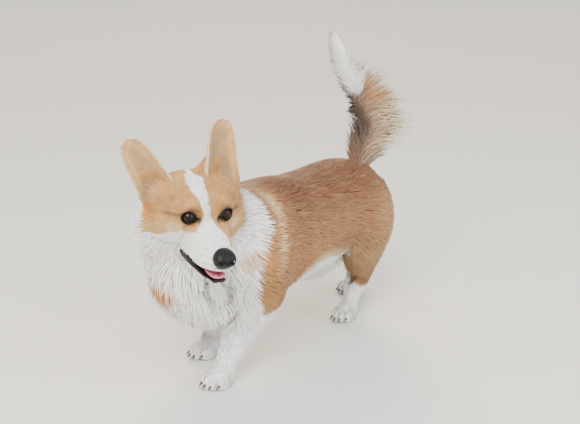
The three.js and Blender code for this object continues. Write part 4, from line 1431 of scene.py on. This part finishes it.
root_depth = coat_depth(roots.at, root_parts)
root_depth = mix(root_depth, 1.2, root_kinds[:, KINDS.index("ear")])
way = along_skin(hair_way(roots.at, root_parts), roots.normal)
turn = 0.1 * drift(roots.at, 40, 41) + 0.06 * drift(roots.at, 12, 42) + chance.normal(0, 0.09, n_roots)
aside = np.cross(roots.normal, way)
way = unit(way * np.cos(turn)[:, None] + aside * np.sin(turn)[:, None])
middle, clump_number = clumps(roots.at, 9.0, 3.0)
towards = middle - roots.at
towards -= (towards * roots.normal).sum(1)[:, None] * roots.normal
reach = roots.at + way * length[:, None] + towards * gather[:, None]
landing, landed = nearest_on_skin(reach)
landing_normal = unit(skin_normals[skin_faces[landed]].mean(1))
landing_depth = root_depth * mix(1.0, 0.9, ramp(length, 10, 30))
stand = chance.uniform(0, 1, n_roots) ** 1.3
height = landing_depth * (0.92 - uneven * 2.0 * stand)
height = np.maximum(height, 0.35) + stand_off * chance.uniform(0.15, 1.0, n_roots)
tip = landing + landing_normal * height[:, None]
tip[:, 2] = np.maximum(tip[:, 2], 0.5)
bend_height = root_depth * 0.85 + stand_off * 0.3
bend = roots.at + way * (0.38 * length)[:, None] + roots.normal * bend_height[:, None]
bend[:, 2] = np.maximum(bend[:, 2], 0.8)
start = roots.at - roots.normal * 0.8
start[:, 2] = np.maximum(start[:, 2], 0.8)
tone_clump = 1 + 0.08 * (clump_number * 2 - 1)
tone_own = 1 + chance.normal(0, 0.055, n_roots)
hair_middle = 0.16 * start + 0.48 * bend + 0.36 * tip
hair_coat = marking(hair_middle, parts_of(hair_middle.astype(np.float32))) * (tone_clump * tone_own)[:, None]
BRIGHTEST = 0.9
hair_coat = np.clip(hair_coat, 0, BRIGHTEST)
hair_over = unit(roots.normal + landing_normal)
hair_side = unit(np.cross(unit(tip - start), hair_over))
hair_over = np.cross(hair_side, unit(tip - start))


def curve(start, bend, tip, steps):
    """Points at the given steps of a curve that leaves its start towards the bend."""
    t = np.array(steps)[None, :, None]
    return (1 - t) ** 2 * start[:, None] + 2 * t * (1 - t) * bend[:, None] + t**2 * tip[:, None]


RING_STEPS = {2: (0.0, 0.5, 1.0), 3: (0.0, 0.34, 0.7, 1.0), 4: (0.0, 0.25, 0.52, 0.8, 1.0)}
SLOTS = {
    "trunk": "red_coat",
    "hindleg": "red_coat",
    "tail": "red_coat",
    "head": "tan_coat",
    "ear": "tan_coat",
}
main_kind = root_kinds.argmax(1)
midline = np.where(main_kind == KINDS.index("chest"), -6, 0)
on_head = (main_kind == KINDS.index("head")) | (main_kind == KINDS.index("ear"))
on_left = np.where(on_head, hx > 0, roots.at[:, 0] > midline)
fore_half = roots.at[:, 1] < 40


def add_coat(name, chosen, rings, slot):
    line = curve(start[chosen], bend[chosen], tip[chosen], RING_STEPS[rings])
    shade = hair_coat[chosen]
    piece = tuft_mesh(
        name,
        line,
        hair_side[chosen],
        hair_over[chosen],
        width[chosen],
        width[chosen] * 0.3,
        # The root end is painted 7% darker than the tip: painted shade down among the tufts.
        (shade * 0.93, shade),
        roots.map[chosen],
        1.0,
    )
    piece.data.materials.append(guard_hair)
    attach(piece, "root")


for number, kind in enumerate(KINDS):
    for left in (True, False):
        chosen = np.flatnonzero((main_kind == number) & (on_left == left))
        halves = {"": chosen}
        if kind == "trunk":
            halves = {"_front": chosen[fore_half[chosen]], "_rear": chosen[~fore_half[chosen]]}
        for half_name, own in halves.items():
            if len(own):
                name = f"coat_{kind}{half_name}_{'left' if left else 'right'}"
                add_coat(name, own, TUFTS[kind][3], SLOTS.get(kind, "white_coat"))

# Plume of the tail
# Long guard hairs that grow from the whole length of the tail's bone and stream back and up,
# in locks that end along the plume's outline.

LOCKS = 6500
LOCK_STEPS = (0.0, 0.22, 0.45, 0.7, 1.0)
lock_share = chance.random(LOCKS) ** 0.85
lock_root = lock_share * last_bone * 0.98
lock_stride = chance.uniform(2.5, 7.0, LOCKS) * mix(1.0, 0.8, lock_share)
lock_ahead = np.minimum(lock_root + lock_stride, TAIL_STEPS - 0.05)
lock_angle = chance.uniform(0, 2 * math.pi, LOCKS)
around_bone = np.cos(lock_angle)[:, None] * PLUME.at_step(TAIL_EDGE, lock_root)
around_bone += np.sin(lock_angle)[:, None] * PLUME.at_step(PLUME.up, lock_root)
bone_radius = PLUME.at_step(tail_radius[:, None], lock_root)
lock_start = PLUME.at_step(bone_at, lock_root) + around_bone * bone_radius * 0.9
spread_angle = lock_angle + chance.normal(0, 0.5, LOCKS)
spread = np.sqrt(chance.uniform(0.08, 1.0, LOCKS))[:, None]
lock_size = PLUME.at_step(PLUME.size, lock_ahead) * [0.97, 0.95]
feather = np.cos(spread_angle) * spread[:, 0]
edge_ahead, up_ahead = PLUME.at_step(TAIL_EDGE, lock_ahead), PLUME.at_step(PLUME.up, lock_ahead)
lock_tip = PLUME.at_step(PLUME.at, lock_ahead) + feather[:, None] * lock_size[:, 0:1] * edge_ahead
lock_tip += (np.sin(spread_angle) * spread[:, 0])[:, None] * lock_size[:, 1:2] * up_ahead

# How far the tips at the front and at the back move outwards to end on the plume's outline, at each height
FRONT_SHIFT_Z = [275, 285, 321, 335, 368, 402, 420, 450, 503]
FRONT_SHIFT = [-14, -14, -13, -17, -9, -10, -14, -19, -8]
BACK_SHIFT_Z = [276, 296, 310, 331, 347, 364, 389, 410, 447, 472, 501]
BACK_SHIFT = [10, 12, 24, 28, 19, 10, 4, -9, -4, -12, -6]
outline_shift = mix(
    np.interp(lock_tip[:, 2], FRONT_SHIFT_Z, FRONT_SHIFT),
    np.interp(lock_tip[:, 2], BACK_SHIFT_Z, BACK_SHIFT),
    (feather + 1) / 2,
)
lock_tip += outline_shift[:, None] * edge_ahead
lock_tip[:, 2] += 5 * ramp(lock_tip[:, 2], 470, 505)
lock_run = np.linalg.norm(lock_tip - lock_start, axis=1, keepdims=True)
lock_bend = lock_start + 0.45 * lock_run * unit(PLUME.at_step(PLUME.along, lock_root) + 0.35 * around_bone)
lock_line = curve(lock_start, lock_bend, lock_tip, LOCK_STEPS)
lock_out = unit(around_bone + 0.3 * up_ahead * np.sign(np.sin(lock_angle))[:, None])
lock_side = unit(np.cross(unit(lock_tip - lock_start), lock_out))
lock_over = np.cross(lock_side, unit(lock_tip - lock_start))
lock_width = chance.uniform(1.5, 2.8, LOCKS)
lock_tone = chance.normal(1, 0.07, (LOCKS, 1))
lock_coat = tail_marking(mix(lock_start, lock_tip, 0.2)) * lock_tone
lock_end = tail_marking(mix(lock_start, lock_tip, 0.8)) * lock_tone
_, lock_triangle = nearest_on_skin(lock_start)
plume = tuft_mesh(
    "coat_tail_plume",
    lock_line,
    lock_side,
    lock_over,
    lock_width,
    lock_width * 0.3,
    (np.clip(lock_coat, 0, BRIGHTEST), np.clip(lock_end, 0, BRIGHTEST)),
    skin_map[lock_triangle].mean(1),
    0.15,
)
plume.data.materials.append(guard_hair)
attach(plume, "root")

# Eyes
# Each eye is a wet globe: a black pupil, a dark brown iris with a darker edge, and a clear cornea
# that bulges a little in front. It sits behind the lids in its socket.

PUPIL, IRIS = math.radians(21), math.radians(46)
IRIS_DARK, IRIS_LIGHT = (np.array(linear(c)) for c in ("#0c0705", "#35200f"))
EYE_WHITE = np.array(linear("#2c221d"))

wet_eye, eye_tree, eye_shader = new_material(
    "wet_cornea_over_iris",
    Roughness=0.05,
    IOR=1.38,
    Specular_IOR_Level=0.05,
    Coat_Weight=0.35,
    Coat_Roughness=0.02,
)
eye_paint = node(eye_tree, "ShaderNodeAttribute", {"attribute_name": "hair_colour"})
eye_tree.links.new(eye_paint.outputs["Color"], eye_shader.inputs["Base Color"])


def eye_colour(angle, turn):
    """The colour at an angle from the gaze, with fine spokes in the iris."""
    spokes = 0.5 + 0.5 * np.sin(turn * 37 + 2 * np.sin(turn * 11))
    iris = mix(IRIS_LIGHT, IRIS_DARK, (0.45 + 0.35 * spokes)[:, None])
    iris = paint(iris, IRIS_DARK, ramp(angle, IRIS - 0.16, IRIS - 0.03))
    colour = paint(np.tile(BLACK * 0.5, (len(angle), 1)), iris, ramp(angle, PUPIL - 0.03, PUPIL + 0.03))
    return paint(colour, EYE_WHITE, ramp(angle, IRIS, IRIS + 0.06))


EYE_RINGS, EYE_SIDES = 40, 48
for name, side in (("left", 1), ("right", -1)):
    centre, axes = eye_frame(side)
    ring_angle = np.repeat(np.linspace(0, math.pi, EYE_RINGS + 2)[1:-1], EYE_SIDES)
    ring_turn = np.tile(np.arange(EYE_SIDES) * 2 * math.pi / EYE_SIDES, EYE_RINGS)
    angle = np.concatenate([[0], ring_angle, [math.pi]])
    turn = np.concatenate([[0], ring_turn, [0]])
    globe = EYE_RADIUS - 0.15 + 0.7 * (1 - ramp(angle, 0.1, IRIS + 0.1))
    spoke = np.column_stack([np.sin(angle) * np.cos(turn), np.sin(angle) * np.sin(turn), np.cos(angle)])
    points = from_head(centre + (spoke * globe[:, None]) @ axes.T)
    faces = []
    last = len(points) - 1
    for i in range(EYE_SIDES):
        j = (i + 1) % EYE_SIDES
        faces.append([0, 1 + i, 1 + j])
        faces.append([last, last - EYE_SIDES + j, last - EYE_SIDES + i])
        for ring in range(EYE_RINGS - 1):
            a, b = 1 + ring * EYE_SIDES + i, 1 + ring * EYE_SIDES + j
            faces += [[a, a + EYE_SIDES, b + EYE_SIDES], [a, b + EYE_SIDES, b]]
    faces = np.array(faces)
    if np.linalg.det(axes) < 0:
        faces = faces[:, ::-1]
    eye = mesh_object(f"eyeball_{name}", points, faces)
    colour_corners(eye.data, eye_colour(angle, turn))
    eye.data.materials.append(wet_eye)
    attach(eye, "root")
    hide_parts(f"eye_{name}")

# Nose
# A pad of bare black skin, pebbled and moist, with a comma-shaped nostril on each side and a groove
# down its middle that runs on into the upper lip.


def field_piece(name, shape, low, high, cell):
    """A closed mesh of a shape that is given in the head's frame."""
    points, count, start = grid_points(low, high, cell)
    found, faces = surface_net(shape(points).reshape(count), start, cell)
    found = settle(shape, found, 2, cell)
    return mesh_object(name, from_head(found), faces)


nose_ball = oval([0, NOSE_TIP + 10.5, -33.5], [14, 12.5, 11.3])
nose_bridge = oval([0, NOSE_TIP + 16, -29.5], [12.5, 10, 9])
nose_wings = both(lambda side: oval([side * 8.7, NOSE_TIP + 8, -35], [6, 9, 8]))
nostrils = both(
    lambda side: Sweep(
        [
            ([side * 5.6, NOSE_TIP - 1, -34.5], 2.6, 2.9),
            ([side * 9.5, NOSE_TIP + 1.5, -34.5], 2.3, 2.5),
            ([side * 13.5, NOSE_TIP + 5.5, -37.0], 1.3, 1.6),
            ([side * 16, NOSE_TIP + 10, -38.5], 0.7, 1.0),
        ],
        (0, 0, 1),
    )
)
nose_groove = oval([0, NOSE_TIP - 2.5, -41], [0.9, 3.6, 9])


def nose_shape(q):
    value = blend(7, nose_ball(q), nose_bridge(q), *[wing(q) for wing in nose_wings])
    for nostril in nostrils:
        value = carve(1.6, value, nostril(q))
    return np.maximum(carve(1.2, value, nose_groove(q)), q[:, 1] - NOSE_TIP - 19)


PEBBLE = 0.0011  # across each pebble of the skin
nose = field_piece("nose_pad", nose_shape, (-19, NOSE_TIP - 5, -49), (19, NOSE_TIP + 22, -17), 0.8)
nose_skin, nose_tree, nose_shader = new_material(
    "moist_nose_skin",
    Roughness=0.42,
    Specular_IOR_Level=0.12,
    Coat_Weight=0.08,
    Coat_Roughness=0.3,
)
nose_place = node(nose_tree, "ShaderNodeTexCoord")
pebbles = node(nose_tree, "ShaderNodeTexVoronoi", Vector=nose_place.outputs["Object"], Scale=1 / PEBBLE)
nose_bump = node(nose_tree, "ShaderNodeBump", Height=pebbles.outputs[0], Distance=0.0004, Strength=0.6)
nose_bump.invert = True
# Darker in the grooves between the pebbles: painted shade.
nose_groove_shade = node(nose_tree, "ShaderNodeMapRange", Value=pebbles.outputs[0], To_Min=0.014, To_Max=0.006)
nose_tree.links.new(nose_groove_shade.outputs[0], nose_shader.inputs["Base Color"])
nose_tree.links.new(nose_bump.outputs[0], nose_shader.inputs["Normal"])
nose.data.materials.append(nose_skin)
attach(nose, "root")
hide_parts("nose")

# Tongue
# A soft wet pink muscle that lies in the lower jaw, with a groove down its middle.

tongue_bulk = Sweep(
    [
        ([0, -16, -60], 11, 5),
        ([0, -36, -65], 12.5, 4.6),
        ([0, -50, -65.6], 11.8, 4.0),
        ([0, -58.5, -66], 8.8, 3.0),
    ],
    (0, 0, 1),
    2.3,
)
tongue_groove = Sweep(
    [
        ([0, -20, -55], 1.6, 1.4),
        ([0, -44, -62], 1.6, 1.4),
        ([0, -64, -65], 1.2, 1),
    ],
    (0, 0, 1),
)


def tongue_shape(q):
    return carve(2.5, tongue_bulk(q), tongue_groove(q))


tongue = field_piece("tongue_muscle", tongue_shape, (-16, -74, -78), (16, -6, -50), 1.2)
tongue_skin, tongue_tree, tongue_shader = new_material(
    "wet_tongue_skin",
    Roughness=0.3,
    Coat_Weight=0.4,
    Coat_Roughness=0.15,
)
tongue_place = node(tongue_tree, "ShaderNodeTexCoord")
PAPILLA = 0.0008  # between the small bumps of its upper side
papillae = node(
    tongue_tree,
    "ShaderNodeTexNoise",
    Vector=tongue_place.outputs["Object"],
    Scale=1 / PAPILLA,
    Detail=1.0,
)
tongue_tint = node(tongue_tree, "ShaderNodeValToRGB", Fac=papillae.outputs[0])
tongue_tint.color_ramp.elements[0].color = (*linear("#b8506a"), 1)
tongue_tint.color_ramp.elements[1].color = (*linear("#d97a8a"), 1)
tongue_bump = node(tongue_tree, "ShaderNodeBump", Height=papillae.outputs[0], Distance=0.0003, Strength=0.5)
tongue_tree.links.new(tongue_tint.outputs[0], tongue_shader.inputs["Base Color"])
tongue_tree.links.new(tongue_bump.outputs[0], tongue_shader.inputs["Normal"])
tongue.data.materials.append(tongue_skin)
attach(tongue, "root")
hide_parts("tongue")

# Claws
# Sixteen curved horny claws, mottled dark and pale brown in fine growth lines, that grow from the ends of
# the toes.

CLAW_LENGTH, CLAW_RADIUS = 11, 2.6
CLAW_STEPS, CLAW_SIDES = 8, 12
claw_horn, claw_tree, claw_shader = new_material("claw_horn", Roughness=0.35)
claw_place = node(claw_tree, "ShaderNodeTexCoord")
HORN_LAYER = 0.0015  # between the growth lines
layers = node(
    claw_tree,
    "ShaderNodeTexNoise",
    Vector=claw_place.outputs["Object"],
    Scale=1 / HORN_LAYER,
    Detail=2.0,
)
claw_tint = node(claw_tree, "ShaderNodeValToRGB", Fac=layers.outputs[0])
claw_tint.color_ramp.elements[0].color = (*linear("#2b2420"), 1)
claw_tint.color_ramp.elements[1].color = (*linear("#6a5a4e"), 1)
claw_tree.links.new(claw_tint.outputs[0], claw_shader.inputs["Base Color"])


def claw_points(toe, width):
    """A claw's rings of points from its root to its tip, in its paw's frame."""
    x, y, _ = toe_at(toe, width)
    rings = []
    for t in np.linspace(0, 1, CLAW_STEPS):
        radius = CLAW_RADIUS * max(1 - 0.72 * t**1.6, 0.12)
        forward = y - 0.2 * PAW_LENGTH - CLAW_LENGTH * t + 2
        height = 9.5 + 0.8 * t - 5 * t * t
        for a in np.arange(CLAW_SIDES) * 2 * math.pi / CLAW_SIDES:
            rings.append([x + 0.75 * radius * math.cos(a), forward, height + radius * math.sin(a)])
    return np.array(rings)


def tube_faces(steps, sides):
    """The sides and both ends of a tube, as triangles."""
    faces = []
    for i in range(sides):
        j = (i + 1) % sides
        for step in range(steps - 1):
            a, b = step * sides + i, step * sides + j
            faces += [[a, b, b + sides], [a, b + sides, a + sides]]
        if 0 < i < sides - 1:
            faces += [[0, j, i], [(steps - 1) * sides, (steps - 1) * sides + i, (steps - 1) * sides + j]]
    return np.array(faces)


for name, (_, _, width) in PAWS.items():
    at, axes = paw_frame(name)
    for n, toe in enumerate(TOES):
        points = claw_points(toe, width) @ axes.T + at
        claw_name = f"claw_{name.replace('claw_', '')}_{n + 1}"
        claw = mesh_object(claw_name, points, tube_faces(CLAW_STEPS, CLAW_SIDES))
        claw.data.materials.append(claw_horn)
        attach(claw, "root")
        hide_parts(f"{name}_{n + 1}")
